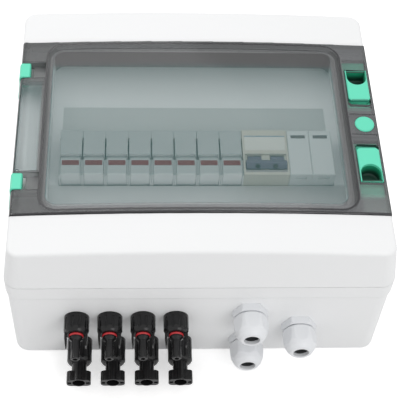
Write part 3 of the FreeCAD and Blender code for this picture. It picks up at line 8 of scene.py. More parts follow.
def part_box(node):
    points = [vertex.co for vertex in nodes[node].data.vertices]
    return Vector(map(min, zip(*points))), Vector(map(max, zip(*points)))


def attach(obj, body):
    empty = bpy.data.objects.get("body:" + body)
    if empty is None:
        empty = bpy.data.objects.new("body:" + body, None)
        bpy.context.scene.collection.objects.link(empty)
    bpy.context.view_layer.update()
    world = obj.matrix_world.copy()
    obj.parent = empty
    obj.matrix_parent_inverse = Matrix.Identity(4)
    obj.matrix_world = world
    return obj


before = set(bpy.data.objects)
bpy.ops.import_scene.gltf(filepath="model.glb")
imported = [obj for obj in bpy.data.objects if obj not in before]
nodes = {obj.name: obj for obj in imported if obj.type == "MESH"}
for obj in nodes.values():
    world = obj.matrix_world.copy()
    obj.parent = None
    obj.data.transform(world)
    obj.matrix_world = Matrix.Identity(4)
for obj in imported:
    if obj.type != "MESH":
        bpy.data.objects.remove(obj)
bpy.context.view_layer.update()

# Camera: a long lens in front of the box and above its cable entries, looking down at the
# door. Its place and its turn were fitted to the corners of the housing.
camera_data = bpy.data.cameras.new("camera")
camera_data.sensor_width = 36.0
camera_data.lens = 97.27
camera = bpy.data.objects.new("camera", camera_data)
bpy.context.scene.collection.objects.link(camera)
camera_place = (-0.04771, -0.55609, 0.80099)
pitch, yaw, roll = math.radians(36.1), math.radians(-5.51), math.radians(4.45)
camera.matrix_world = (Matrix.Translation(camera_place) @ Matrix.Rotation(yaw, 4, "Z")
                       @ Matrix.Rotation(pitch, 4, "X") @ Matrix.Rotation(roll, 4, "Z"))
bpy.context.scene.camera = camera
bpy.context.scene.view_settings.view_transform = "Standard"

# Studio: a pale table top that keeps the box's soft shadow, an even white surround and three
# soft round lamps, one overhead, one in front and a small one that lights glossy edges.


def add_node(tree, kind, inputs=None, **settings):
    """Put a node in a tree, with its settings, and its inputs as numbers or links."""
    made = tree.nodes.new(kind)
    for name, setting in settings.items():
        setattr(made, name, setting)
    for name, source in (inputs or {}).items():
        if isinstance(source, bpy.types.NodeSocket):
            tree.links.new(source, made.inputs[name])
        else:
            made.inputs[name].default_value = source
    return made


def calculate(tree, operation, *values):
    """One calculation on numbers or links."""
    return add_node(tree, "ShaderNodeMath", dict(enumerate(values)),
                    operation=operation).outputs[0]


def either(tree, *masks):
    """The largest of some masks."""
    held = masks[0]
    for mask in masks[1:]:
        held = calculate(tree, "MAXIMUM", held, mask)
    return held


def seen_directly(tree):
    """1 for camera, mirror and see-through rays, 0 for the light that falls on the object."""
    path = add_node(tree, "ShaderNodeLightPath").outputs
    return either(tree, path["Is Camera Ray"], path["Is Glossy Ray"],
                  path["Is Transmission Ray"])


def new_material(name):
    material = bpy.data.materials.new(name)
    material.use_nodes = True
    material.node_tree.nodes.clear()
    return material


def show_surface(material, surface):
    output = add_node(material.node_tree, "ShaderNodeOutputMaterial")
    material.node_tree.links.new(surface, output.inputs["Surface"])


white = (1.0, 1.0, 1.0, 1.0)
table_finish = new_material("table_top")
tree = table_finish.node_tree
matt = add_node(tree, "ShaderNodeBsdfDiffuse", {"Color": (0.86, 0.86, 0.86, 1.0)})
lift = add_node(tree, "ShaderNodeEmission", {"Color": white, "Strength": 0.5})
bright = add_node(tree, "ShaderNodeAddShader", {0: matt.outputs[0], 1: lift.outputs[0]})
dim = add_node(tree, "ShaderNodeBsdfDiffuse", {"Color": (0.6, 0.6, 0.6, 1.0)})
table_mix = add_node(tree, "ShaderNodeMixShader", {
    0: seen_directly(tree), 1: dim.outputs[0], 2: bright.outputs[0]})
show_surface(table_finish, table_mix.outputs[0])
table_half, table_drop = 8.0, 0.0004
table_mesh = bpy.data.meshes.new("table")
table_mesh.from_pydata([(-table_half, -table_half, 0.0), (table_half, -table_half, 0.0),
                        (table_half, table_half, 0.0), (-table_half, table_half, 0.0)],
                       [], [(0, 1, 2, 3)])
table_mesh.materials.append(table_finish)
table = bpy.data.objects.new("table", table_mesh)
table.location.z = -table_drop
bpy.context.scene.collection.objects.link(table)

world = bpy.data.worlds.new("surround")
bpy.context.scene.world = world
world.use_nodes = True
tree = world.node_tree
tree.nodes.clear()
around = add_node(tree, "ShaderNodeBackground", {"Color": (1.0, 0.995, 0.99, 1.0),
                                                 "Strength": 0.74})
backdrop = add_node(tree, "ShaderNodeBackground", {"Color": white, "Strength": 1.0})
world_mix = add_node(tree, "ShaderNodeMixShader", {
    0: seen_directly(tree), 1: around.outputs[0], 2: backdrop.outputs[0]})
world_output = add_node(tree, "ShaderNodeOutputWorld")
tree.links.new(world_mix.outputs[0], world_output.inputs["Surface"])


def soft_lamp(name, place, target, wide, watts):
    """A round lamp at a place, turned to a target."""
    lamp_data = bpy.data.lights.new(name, "AREA")
    lamp_data.shape = "DISK"
    lamp_data.size = wide
    lamp_data.energy = watts
    lamp = bpy.data.objects.new(name, lamp_data)
    bpy.context.scene.collection.objects.link(lamp)
    lamp.location = place
    aim = Vector(target) - Vector(place)
    lamp.rotation_euler = aim.to_track_quat("-Z", "Y").to_euler()


soft_lamp("overhead_lamp", place=(-0.2, 0.7, 1.7), target=(0.0, 0.0, 0.1), wide=1.5, watts=6.0)
soft_lamp("front_lamp", place=(0.9, -1.7, 1.2), target=(0.0, 0.0, 0.05), wide=1.2, watts=9.5)
soft_lamp("spark_lamp", place=(-1.05, 0.68, 1.05), target=(0.0, -0.13, 0.05), wide=0.3,
          watts=2.6)

# Housing: a deep base box and a front cover, injection-moulded in light grey plastic with a
# fine spark-eroded texture. Four screws hold the cover on the base, a flat seal between them.


def new_group(name, inputs, outputs):
    """A node group, with the sockets that bring its inputs in and take its outputs."""
    group = bpy.data.node_groups.new(name, "ShaderNodeTree")
    for label, kind, default in inputs:
        socket = group.interface.new_socket(label, in_out="INPUT", socket_type=kind)
        socket.default_value = default
    for label, kind in outputs:
        group.interface.new_socket(label, in_out="OUTPUT", socket_type=kind)
    brought = group.nodes.new("NodeGroupInput")
    given = group.nodes.new("NodeGroupOutput")
    return group, brought.outputs, given.inputs


moulded, taken, given = new_group(
    "moulded_surface",
    [("Colour", "NodeSocketColor", (0.8, 0.8, 0.8, 1.0)),
     ("Colour Spread", "NodeSocketFloat", 0.03),
     ("Roughness", "NodeSocketFloat", 0.45),
     ("Roughness Spread", "NodeSocketFloat", 0.08),
     ("Grain Scale", "NodeSocketFloat", 1800.0),
     ("Grain Height", "NodeSocketFloat", 0.00002),
     ("Edge Round", "NodeSocketFloat", 0.0005)],
    [("Colour", "NodeSocketColor"), ("Roughness", "NodeSocketFloat"),
     ("Normal", "NodeSocketVector")])
spot = add_node(moulded, "ShaderNodeTexCoord").outputs["Object"]
grain = add_node(moulded, "ShaderNodeTexNoise", {
    "Vector": spot, "Scale": taken["Grain Scale"], "Detail": 3.0, "Roughness": 0.6})
flow = add_node(moulded, "ShaderNodeTexNoise", {
    "Vector": spot, "Scale": 14.0, "Detail": 4.0, "Roughness": 0.55})
patch = add_node(moulded, "ShaderNodeTexNoise", {
    "Vector": spot, "Scale": 95.0, "Detail": 5.0, "Roughness": 0.65})
flow_swing = calculate(moulded, "SUBTRACT", flow.outputs["Fac"], 0.5)
tone = calculate(moulded, "MULTIPLY_ADD", flow_swing, taken["Colour Spread"], 1.0)
tinted = add_node(moulded, "ShaderNodeVectorMath", {0: taken["Colour"], "Scale": tone},
                  operation="SCALE")
patch_swing = calculate(moulded, "SUBTRACT", patch.outputs["Fac"], 0.5)
dull = calculate(moulded, "MULTIPLY_ADD", patch_swing, taken["Roughness Spread"],
                 taken["Roughness"])
soft_edge = add_node(moulded, "ShaderNodeBevel", {"Radius": taken["Edge Round"]}, samples=6)
pitted = add_node(moulded, "ShaderNodeBump", {
    "Height": grain.outputs["Fac"], "Distance": taken["Grain Height"],
    "Normal": soft_edge.outputs[0]})
moulded.links.new(tinted.outputs["Vector"], given["Colour"])
moulded.links.new(dull, given["Roughness"])
moulded.links.new(pitted.outputs[0], given["Normal"])


def srgb(red, green, blue):
    """A screen colour, 0 to 255, as the shader's own numbers."""
    parts = [part / 255.0 for part in (red, green, blue)]
    return tuple(((part + 0.055) / 1.055) ** 2.4 if part > 0.04045 else part / 12.92
                 for part in parts) + (1.0,)


def moulded_plastic(name, colour, spread=0.03, roughness=0.45, roughness_spread=0.08,
                    grain_scale=1800.0, grain_height=0.00002, edge=0.0005, specular=0.5):
    """Plastic as it leaves the mould: even colour, fine grain and softly rounded edges."""
    material = new_material(name)
    tree = material.node_tree
    look = add_node(tree, "ShaderNodeGroup", node_tree=moulded)
    for label, number in (("Colour", colour), ("Colour Spread", spread),
                          ("Roughness", roughness), ("Roughness Spread", roughness_spread),
                          ("Grain Scale", grain_scale), ("Grain Height", grain_height),
                          ("Edge Round", edge)):
        look.inputs[label].default_value = number
    surface = add_node(tree, "ShaderNodeBsdfPrincipled", {
        "Base Color": look.outputs["Colour"], "Roughness": look.outputs["Roughness"],
        "Normal": look.outputs["Normal"], "Specular IOR Level": specular})
    show_surface(material, surface.outputs[0])
    return material


def finish(material, *names):
    """Give CAD nodes their finish."""
    for name in names:
        slots = nodes[name].data.materials
        slots.clear()
        slots.append(material)


def both(tree, *masks):
    """Masks multiplied together."""
    held = masks[0]
    for mask in masks[1:]:
        held = calculate(tree, "MULTIPLY", held, mask)
    return held


def ramp(tree, value, start, end):
    """0 before start, 1 after end, smooth between them."""
    return add_node(tree, "ShaderNodeMapRange", {
        "Value": value, "From Min": start, "From Max": end},
        interpolation_type="SMOOTHSTEP").outputs[0]


def band(tree, value, rise, fall):
    """1 between two ramps, each given by where it is 0 and where it is 1."""
    return both(tree, ramp(tree, value, *rise), ramp(tree, value, *fall))


def distance_from(tree, value, middle=0.0):
    """How far a coordinate lies from a middle, to either side."""
    return calculate(tree, "ABSOLUTE", calculate(tree, "SUBTRACT", value, middle))


def fade_to(tree, start, goal, mask):
    """Move a value towards a goal where a mask is 1."""
    return add_node(tree, "ShaderNodeMapRange", {
        "Value": mask, "To Min": start, "To Max": goal}).outputs[0]


def mix_colours(tree, start, goal, mask):
    """Move a colour towards a goal where a mask is 1."""
    start_socket, goal_socket, mixed_socket = 6, 7, 2
    return add_node(tree, "ShaderNodeMix", {
        "Factor": mask, start_socket: start, goal_socket: goal},
        data_type="RGBA").outputs[mixed_socket]


def add_mask(material, target, mask_of):
    """Fade a moulded plastic towards another colour where a mask over its own space is 1."""
    tree = material.node_tree
    look = next(node for node in tree.nodes if node.type == "GROUP")
    own = tuple(look.inputs["Colour"].default_value)
    spot = add_node(tree, "ShaderNodeTexCoord").outputs
    place = add_node(tree, "ShaderNodeSeparateXYZ", {0: spot["Object"]}).outputs
    facing = add_node(tree, "ShaderNodeSeparateXYZ", {0: spot["Normal"]}).outputs
    tree.links.new(mix_colours(tree, own, target, mask_of(tree, place, facing)),
                   look.inputs["Colour"])


housing_finish = {"colour": srgb(240, 241, 242), "spread": 0.02, "roughness": 0.5,
                  "roughness_spread": 0.1, "grain_scale": 2200.0, "grain_height": 0.000018,
                  "edge": 0.0008}
base_plastic = moulded_plastic("grained_base_plastic", **housing_finish)
cover_plastic = moulded_plastic("grained_cover_plastic", **housing_finish)
well_middle = -0.0013


def painted_well_shade(tree, place, facing):
    """Painted shade on the far wall and the near floor of the device window's well, as the door
    shades them.
    """
    inside = ramp(tree, distance_from(tree, place["X"], well_middle), 0.1176, 0.1171)
    wall_reach = band(tree, place["Y"], (0.0708, 0.0745), (0.0810, 0.0800))
    wall_height = band(tree, place["Z"], (0.1176, 0.1186), (0.1372, 0.1362))
    faces_near = ramp(tree, facing["Y"], -0.05, -0.5)
    floor_reach = band(tree, place["Y"], (-0.0800, -0.0790), (-0.0440, -0.0480))
    floor_height = band(tree, place["Z"], (0.1160, 0.1162), (0.1190, 0.1188))
    floor_strength = fade_to(tree, 0.24, 0.48, ramp(tree, place["X"], 0.0, 0.1))
    return either(tree, both(tree, inside, wall_reach, wall_height, faces_near),
                  both(tree, inside, floor_reach, floor_height, floor_strength))


# Painted shade darkens the far wall and the near floor of the device window's well.
add_mask(cover_plastic, srgb(124, 118, 118), painted_well_shade)
finish(base_plastic, "base_box")
finish(cover_plastic, "front_cover", "latch_keepers")
finish(moulded_plastic("white_screw_plastic", srgb(226, 229, 232), spread=0.02, roughness=0.4),
       "cover_screws")

# Seals: black foam rubber, cut from sheet, laid inside the housing's parting line and behind
# the flange of each gland. The cover's screws and the glands' locknuts squeeze them.
foam = moulded_plastic("foam_rubber", srgb(58, 60, 62), spread=0.3, roughness=0.85,
                       roughness_spread=0.1, grain_scale=900.0, grain_height=0.00012,
                       edge=0.0002)
finish(foam, "cover_gasket", "gland_seals")

# Metal inside: a zinc-plated steel rail with its screws and the hinge pins, a copper comb that
# joins the fuse holders, and a brass earth bar with its screws. All are rolled or drawn, and
# keep fine lines along their length.


def worked_metal(name, colour, roughness):
    """Rolled or drawn metal with fine lines along its length."""
    material = new_material(name)
    tree = material.node_tree
    along_length = (0.03, 1.0, 1.0)
    spot = add_node(tree, "ShaderNodeTexCoord").outputs["Object"]
    drawn = add_node(tree, "ShaderNodeMapping", {"Vector": spot, "Scale": along_length})
    lines = add_node(tree, "ShaderNodeTexNoise", {
        "Vector": drawn.outputs[0], "Scale": 1500.0, "Detail": 4.0})
    stain = add_node(tree, "ShaderNodeTexNoise", {"Vector": spot, "Scale": 60.0, "Detail": 4.0})
    tone = add_node(tree, "ShaderNodeMapRange", {
        "Value": stain.outputs["Fac"], "From Min": 0.3, "From Max": 0.7,
        "To Min": 0.85, "To Max": 1.05})
    shade = add_node(tree, "ShaderNodeVectorMath", {0: colour, "Scale": tone.outputs[0]},
                     operation="SCALE")
    dull = add_node(tree, "ShaderNodeMapRange", {
        "Value": lines.outputs["Fac"], "To Min": roughness - 0.08, "To Max": roughness + 0.12})
    scored = add_node(tree, "ShaderNodeBump", {
        "Height": lines.outputs["Fac"], "Distance": 0.00001})
    surface = add_node(tree, "ShaderNodeBsdfPrincipled", {
        "Base Color": shade.outputs[0], "Metallic": 1.0, "Roughness": dull.outputs[0],
        "Normal": scored.outputs[0]})
    show_surface(material, surface.outputs[0])
    return material


finish(worked_metal("zinc_plate", (0.62, 0.63, 0.65), roughness=0.35),
       "din_rail", "rail_screws", "hinge_pins")
finish(worked_metal("bare_copper", (0.78, 0.42, 0.26), roughness=0.3), "fuse_comb")
finish(worked_metal("plain_brass", (0.76, 0.6, 0.3), roughness=0.3),
       "earth_bar", "earth_bar_screws")

# Label strip: a thin strip of pale plastic with a bare face, stuck on the device plate above
# the row of devices.
per_metre = 1000.0


def bevelled_block(name, low, high, bevel, material, body):
    """Moulded block between two corners, in millimetres, with rounded edges."""
    corners = [(x, y, z) for x in (low[0], high[0]) for y in (low[1], high[1])
               for z in (low[2], high[2])]
    faces = [(0, 1, 3, 2), (4, 6, 7, 5), (0, 4, 5, 1), (2, 3, 7, 6), (0, 2, 6, 4), (1, 5, 7, 3)]
    mesh = bpy.data.meshes.new(name)
    mesh.from_pydata([tuple(part / per_metre for part in corner) for corner in corners],
                     [], faces)
    mesh.materials.append(material)
    piece = bpy.data.objects.new(name, mesh)
    bpy.context.scene.collection.objects.link(piece)
    rounding = piece.modifiers.new("rounding", "BEVEL")
    rounding.width = bevel / per_metre
    rounding.segments = 3
    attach(piece, body)
    return piece


strip_plastic = moulded_plastic("label_strip_plastic", srgb(203, 206, 206), spread=0.05,
                                roughness=0.5, roughness_spread=0.1, grain_scale=1200.0,
                                grain_height=0.000003, edge=0.0002)
label_strip = bevelled_block("label_strip", low=(-109.5, 1.6, 117.9), high=(106.5, 34.0, 118.5),
                             bevel=0.2, material=strip_plastic, body="enclosure")

# Fuse holders: eight light grey plastic housings, clipped on the rail side by side. Each has
# a carrier that swings out on trunnions, with a small red tell-tale lens across its front.
holder_plastic = moulded_plastic("holder_plastic", srgb(180, 185, 186), roughness=0.42,
                                 grain_scale=2400.0, grain_height=0.000012, edge=0.0004)
carrier_plastic = moulded_plastic("carrier_plastic", srgb(184, 189, 190), roughness=0.38,
                                  grain_scale=2400.0, grain_height=0.00001, edge=0.0004)
lens_red = moulded_plastic("red_lens", srgb(122, 4, 8), spread=0.1, roughness=0.6,
                           roughness_spread=0.05, grain_scale=900.0, grain_height=0.000005,
                           edge=0.0003, specular=0.15)


def front_wall_painted_light(tree, place, facing):
    """Painted light on the faces towards the cable entries, for the light they pick up from the
    pane's lower edge.
    """
    return ramp(tree, facing["Y"], -0.4, -0.9)


# Painted light makes the holders' and carriers' faces towards the cable entries paler.
for plastic in (holder_plastic, carrier_plastic):
    add_mask(plastic, srgb(240, 241, 242), front_wall_painted_light)
lens_half = 6.7
lens_near, lens_far = -36.8, -32.0
lens_back, lens_face = 131.6, 132.3
for step in range(1, 9):
    finish(holder_plastic, f"fuse_holder_{step}")
    finish(carrier_plastic, f"fuse_carrier_{step}")
    low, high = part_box(f"fuse_carrier_{step}")
    middle = (low.x + high.x) / 2.0 * per_metre
    lens = bevelled_block(f"fuse_lens_{step}", low=(middle - lens_half, lens_near, lens_back),
                          high=(middle + lens_half, lens_far, lens_face), bevel=0.25,
                          material=lens_red, body=f"fuse_carrier_{step}")

# Breaker: two poles in one housing of warm white plastic, clipped on the rail, with both levers
# joined by one dark tie bar that two black rivets hold. A bare label with a plain blue line is
# stuck on the nose above the bar.
breaker_plastic = moulded_plastic("breaker_plastic", srgb(204, 201, 191), roughness=0.4,
                                  grain_scale=2400.0, grain_height=0.000012, edge=0.0004)
lever_plastic = moulded_plastic("lever_plastic", srgb(88, 88, 112), spread=0.06, roughness=0.35,
                                grain_scale=2000.0, grain_height=0.00001, edge=0.0005)
low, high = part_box("breaker_body")
breaker_middle = (low.x + high.x) / 2.0 * per_metre


def painted_bar_shadow(tree, place, facing):
    """Painted shadow on the strip of the nose just below the tie bar, where the bar's shade falls.
    """
    across = distance_from(tree, place["X"], breaker_middle / per_metre)
    strip_reach = band(tree, place["Y"], (-0.0440, -0.0428), (-0.0340, -0.0350))
    return both(tree, ramp(tree, across, 0.0170, 0.0160), strip_reach,
                ramp(tree, place["Z"], 0.1290, 0.1296))


# A painted shadow darkens the breaker's nose just below the tie bar.
add_mask(breaker_plastic, srgb(150, 148, 150), painted_bar_shadow)
finish(breaker_plastic, "breaker_body")
finish(lever_plastic, "breaker_toggle")
label_finish = {"spread": 0.04, "roughness": 0.35, "grain_scale": 1200.0,
                "grain_height": 0.000003, "edge": 0.0001}
label_white = moulded_plastic("breaker_label_plastic", srgb(220, 219, 214), **label_finish)
label_blue = moulded_plastic("label_line_blue", srgb(120, 150, 172), **label_finish)
label_left, label_right = breaker_middle - 16.2, breaker_middle + 16.2
label_near, line_near, label_far = -21.5, -7.9, -7.0
label_back, label_face, line_back, line_face = 131.85, 132.15, 132.05, 132.25
breaker_label = bevelled_block("breaker_label", low=(label_left, label_near, label_back),
                               high=(label_right, label_far, label_face), bevel=0.12,
                               material=label_white, body="enclosure")
label_line = bevelled_block("breaker_label_line", low=(label_left, line_near, line_back),
                            high=(label_right, label_far, line_face), bevel=0.08,
                            material=label_blue, body="enclosure")


def turned_piece(name, profile, centre, aim, material, body, steps=28):
    """Lathe-turned piece: profile of radius and height along aim, in millimetres."""
    turns = [math.tau * step / steps for step in range(steps)]
    points = [Vector((radius * math.cos(turn), radius * math.sin(turn), height))
              for radius, height in profile for turn in turns]
    faces = []
    for ring in range(len(profile) - 1):
        for step in range(steps):
            after = (step + 1) % steps
            faces.append((ring * steps + step, ring * steps + after,
                          (ring + 1) * steps + after, (ring + 1) * steps + step))
    last = (len(profile) - 1) * steps
    faces.append(tuple(range(last, last + steps)))
    faces.append(tuple(reversed(range(steps))))
    spin = Vector(aim).to_track_quat("Z", "Y").to_matrix()
    mesh = bpy.data.meshes.new(name)
    mesh.from_pydata([(Vector(centre) + spin @ point) / per_metre for point in points],
                     [], faces)
    mesh.materials.append(material)
    for face in mesh.polygons:
        face.use_smooth = len(face.vertices) == 4
    piece = bpy.data.objects.new(name, mesh)
    bpy.context.scene.collection.objects.link(piece)
    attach(piece, body)
    return piece


rivet_black = moulded_plastic("rivet_black", srgb(8, 9, 14), spread=0.1, roughness=0.6,
                              roughness_spread=0.05, grain_scale=900.0, grain_height=0.000005,
                              edge=0.0001, specular=0.1)
rivet_profile = [(2.0, -0.4), (2.0, 0.25), (1.7, 0.4), (0.6, 0.46)]
rivet_gap = 14.0
bar_face_y, bar_face_z, bar_face_aim = -38.4, 133.15, (0.0, -0.819, 0.574)
for step in (1, 2):
    rivet_x = breaker_middle + (step - 1.5) * rivet_gap
    rivet = turned_piece(f"tie_bar_rivet_{step}", rivet_profile,
                         (rivet_x, bar_face_y, bar_face_z), bar_face_aim, rivet_black,
                         "breaker_toggle")

# Surge protector: a light grey plastic base, clipped on the rail, with two plug-in cartridges
# of the same plastic. Each cartridge shows its state through a dark window near its top.
cartridge_plastic = moulded_plastic("cartridge_plastic", srgb(216, 219, 220), roughness=0.42,
                                    grain_scale=2400.0, grain_height=0.000012, edge=0.0004)
window_dark = moulded_plastic("status_window", srgb(98, 92, 94), spread=0.1, roughness=0.15,
                              roughness_spread=0.05, grain_scale=900.0, grain_height=0.000004,
                              edge=0.0002)
finish(cartridge_plastic, "surge_base", "surge_cartridge_left", "surge_cartridge_right")
window_half = 5.8
window_near, window_far = -9.35, -6.05
window_back, window_face = 131.2, 131.75
for word in ("left", "right"):
    low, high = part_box(f"surge_cartridge_{word}")
    middle = (low.x + high.x) / 2.0 * per_metre
    pane = bevelled_block(f"status_window_{word}",
                          low=(middle - window_half, window_near, window_back),
                          high=(middle + window_half, window_far, window_face), bevel=0.15,
                          material=window_dark, body="enclosure")

# Door: smoke-tinted clear plastic, moulded in one piece and crowned like the cover. Its rib
# closes on a grey foam seal round the collar. The pane inside the rib is clearer and the strips
# outside it are darker. A band of painted shade lies across the pane's top, and near-black
# painted lines on the edges, the rib and the pane's border stand for their deep tint and shade.
smoke = new_material("smoke_tinted_door")
tree = smoke.node_tree
coordinates = add_node(tree, "ShaderNodeTexCoord").outputs
spot = coordinates["Object"]
place = add_node(tree, "ShaderNodeSeparateXYZ", {0: spot}).outputs
facing = add_node(tree, "ShaderNodeSeparateXYZ", {0: coordinates["Normal"]}).outputs
across = distance_from(tree, place["X"])
along = distance_from(tree, place["Y"])


def window_distance(tree, spot, middle, half, radius):
    """Distance outside a rectangle with rounded corners, seen from the front, negative inside."""
    def work(operation, *values):
        return add_node(tree, "ShaderNodeVectorMath", dict(enumerate(values)),
                        operation=operation).outputs

    flat = work("MULTIPLY", spot, (1.0, 1.0, 0.0))[0]
    away = work("ABSOLUTE", work("SUBTRACT", flat, middle + (0.0,))[0])[0]
    past = work("SUBTRACT", away, (half[0] - radius, half[1] - radius, 0.0))[0]
    reach = work("LENGTH", work("MAXIMUM", past, (0.0, 0.0, 0.0))[0])["Value"]
    return calculate(tree, "SUBTRACT", reach, radius)


# The sealing rib and the pane inside it, each with a thin dark line of painted shade along its
# border, and a band of painted shade across the top of the pane.
to_rib = window_distance(tree, spot, middle=(-0.0013, 0.0), half=(0.1228, 0.0859),
                         radius=0.0149)
rib_mask = ramp(tree, to_rib, 0.0002, -0.0002)
rib_shade_line = band(tree, to_rib, (-0.0017, -0.0013), (0.0004, 0.0))
to_pane = window_distance(tree, spot, middle=(-0.0028, 0.0), half=(0.1155, 0.0801),
                          radius=0.0091)
pane_mask = ramp(tree, to_pane, 0.0002, -0.0002)
pane_shade_line = band(tree, to_pane, (-0.0005, -0.0002), (0.0007, 0.0004))
top_shade_mask = both(tree, pane_mask, ramp(tree, place["Y"], 0.0570, 0.0640))

# The left strip between the hinge blocks, the two near corners, and the hinge pockets with
# the notches round the blocks.
strip_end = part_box("hinge_block_lower")[0].y
strip_mask = both(tree, ramp(tree, place["X"], -0.1255, -0.1275),
                  ramp(tree, place["Y"], 0.050, 0.026),
                  ramp(tree, place["Y"], strip_end - 0.001, strip_end))
foot_mask = both(tree, ramp(tree, across, 0.1225, 0.138), ramp(tree, place["Y"], -0.068, -0.084))
corner_mask = both(tree, ramp(tree, place["X"], 0.121, 0.126),
                   ramp(tree, place["Y"], -0.054, -0.062))
hinge_middle, notch_half = 0.057, 0.0084
from_notch = calculate(tree, "SUBTRACT", distance_from(tree, along, hinge_middle), notch_half)
pocket_side = ramp(tree, place["X"], -0.1237, -0.1241)
pocket_mask = both(tree, pocket_side, ramp(tree, from_notch, 0.0002, 0.0001))
# A thin line of painted shade borders each notch.
pocket_shade_line = both(tree, pocket_side, band(tree, from_notch, (0.0001, 0.0002), (0.0012, 0.0009)))

# The windows of the latches, and lines of painted shade along the web beside the lock plug, the
# rim and every upright edge.
latch_low, latch_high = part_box("latch_upper")
door_low, door_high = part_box("door")
soft = 0.0002
latch_mask = both(
    tree,
    band(tree, place["X"], (latch_low.x - soft, latch_low.x), (latch_high.x + soft, latch_high.x)),
    band(tree, along, (latch_low.y, latch_low.y + soft), (latch_high.y + soft, latch_high.y)))
web_shade_line = both(tree, ramp(tree, place["X"], 0.1225, 0.1229),
                band(tree, along, (0.0098, 0.0102), (0.0112, 0.0108)))
rim_shade_line = either(tree, ramp(tree, place["X"], door_high.x - 0.0012, door_high.x - 0.0008),
                  ramp(tree, place["X"], door_low.x + 0.0014, door_low.x + 0.0010),
                  ramp(tree, along, door_high.y - 0.0014, door_high.y - 0.0010))
upright_shade_mask = both(tree, ramp(tree, distance_from(tree, facing["Z"]), 0.75, 0.35),
                    ramp(tree, place["Z"], 0.1342, 0.1352), fade_to(tree, 1.0, 0.0, pocket_mask))
edge_shade_mask = either(tree, upright_shade_mask, rib_shade_line, web_shade_line, rim_shade_line, pocket_shade_line)

# How much the plastic hides of what lies behind it, and its colour, zone by zone; the top
# band and the edge lines are painted shade.
cover_share = 0.6
for mask, share in ((rib_mask, 0.5), (pane_mask, 0.21), (top_shade_mask, 0.42), (strip_mask, 0.16),
                    (foot_mask, 0.42), (corner_mask, 0.5), (pocket_mask, 0.6),
                    (latch_mask, 0.34), (pane_shade_line, 0.6), (edge_shade_mask, 0.97)):
    cover_share = fade_to(tree, cover_share, share, mask)
light_side = both(tree, ramp(tree, place["X"], -0.125, -0.105),
                  either(tree, fade_to(tree, 1.0, 0.0, rib_mask),
                         ramp(tree, along, 0.0780, 0.0800)))
smoke_tint = (0.13, 0.137, 0.14, 1.0)
for mask, tint in ((light_side, (0.185, 0.192, 0.2, 1.0)),
                   (corner_mask, (0.26, 0.285, 0.285, 1.0)),
                   (strip_mask, (0.16, 0.3, 0.3, 1.0)), (pane_mask, (0.08, 0.2, 0.2, 1.0)),
                   (top_shade_mask, (0.1, 0.105, 0.108, 1.0)),
                   (pocket_mask, (0.26, 0.265, 0.27, 1.0)),
                   (edge_shade_mask, (0.03, 0.031, 0.034, 1.0))):
    smoke_tint = mix_colours(tree, smoke_tint, tint, mask)
ripple = add_node(tree, "ShaderNodeTexNoise", {"Vector": spot, "Scale": 30.0, "Detail": 2.0})
haze = add_node(tree, "ShaderNodeMapRange", {
    "Value": ripple.outputs["Fac"], "To Min": 0.05, "To Max": 0.11})
wave = add_node(tree, "ShaderNodeBump", {"Height": ripple.outputs["Fac"], "Distance": 0.00003})
gloss = add_node(tree, "ShaderNodeBsdfPrincipled", {
    "Base Color": smoke_tint, "Roughness": haze.outputs[0], "Normal": wave.outputs[0],
    "Alpha": cover_share})
show_surface(smoke, gloss.outputs[0])
finish(smoke, "door")
finish(moulded_plastic("soft_grey_foam", srgb(190, 194, 195), spread=0.2, roughness=0.85,
                       roughness_spread=0.1, grain_scale=900.0, grain_height=0.0001,
                       edge=0.0002), "door_seal")

# Hinge blocks, slide latches and lock plug: moulded in bright green plastic. The blocks stand
# on the cover and hold the hinge pins, the latches slide in windows of the door's right strip,
# and the plug is pressed into the door between them.
green = moulded_plastic("green_plastic", srgb(98, 221, 187), spread=0.04, roughness=0.4,
                        grain_scale=2000.0, grain_height=0.000012, edge=0.0006)


def painted_latch_end_shade(tree, place, facing):
    """Painted shade on the upper latch's end towards the lock plug, where its window's edge shades
    it.
    """
    return both(tree, ramp(tree, place["X"], 0.118, 0.12), ramp(tree, place["Y"], 0.015, 0.016),
                ramp(tree, place["Z"], 0.1365, 0.1375), ramp(tree, facing["Y"], -0.55, -0.8))


# Painted shade darkens the upper latch's end towards the lock plug.
add_mask(green, srgb(52, 140, 116), painted_latch_end_shade)
finish(green, "hinge_block_upper", "hinge_block_lower", "latch_upper", "latch_lower",
       "lock_plug")

# Finger scoops: a half-round hollow in the top of each latch, moulded with it, for the finger
# that slides it. A thin liner and an end lip, both a darker green, are sheets of painted shade
# that give the hollow its depth; more painted shade darkens its lower half and the lip.
scoop_shade_green = moulded_plastic("scoop_shade_green", srgb(30, 150, 112), spread=0.1, roughness=0.5,
                              roughness_spread=0.1, grain_scale=1500.0, grain_height=0.00001,
                              edge=0.0002)


def painted_scoop_shade(tree, place, facing):
    """Painted shade on the lower half of the finger scoop and on its end lip, where hardly any
    light reaches.
    """
    lip = both(tree, ramp(tree, distance_from(tree, place["Y"]), 0.0560, 0.0562),
               ramp(tree, place["Z"], 0.1380, 0.1383))
    return either(tree, ramp(tree, place["Z"], 0.1362, 0.1305), lip)


# Painted shade darkens the scoop's lower half and its end lip further.
add_mask(scoop_shade_green, srgb(26, 72, 58), painted_scoop_shade)
scoop_x, scoop_y, scoop_end = 133.1, 49.6, 56.75
scoop_radius, shade_liner_wall, round_steps = 8.06, 0.35, 24
shade_liner_base, shade_liner_top = 126.9, 138.0
floor_thick, chamfer_across, chamfer_up = 0.6, 1.2, 1.0
lip_start, lip_end, lip_base, lip_top = 56.3, 57.6, 138.45, 138.62


def scoop_ring(radius, far, height, side):
    """Outline of the finger scoop: half a round towards the lock plug, square at the far end."""
    turns = [math.pi * step / round_steps for step in range(round_steps + 1)]
    outline = [(scoop_x + radius * math.cos(turn), scoop_y - radius * math.sin(turn))
               for turn in turns] + [(scoop_x - radius, far), (scoop_x + radius, far)]
    return [(x, side * y, height) for x, y in outline]
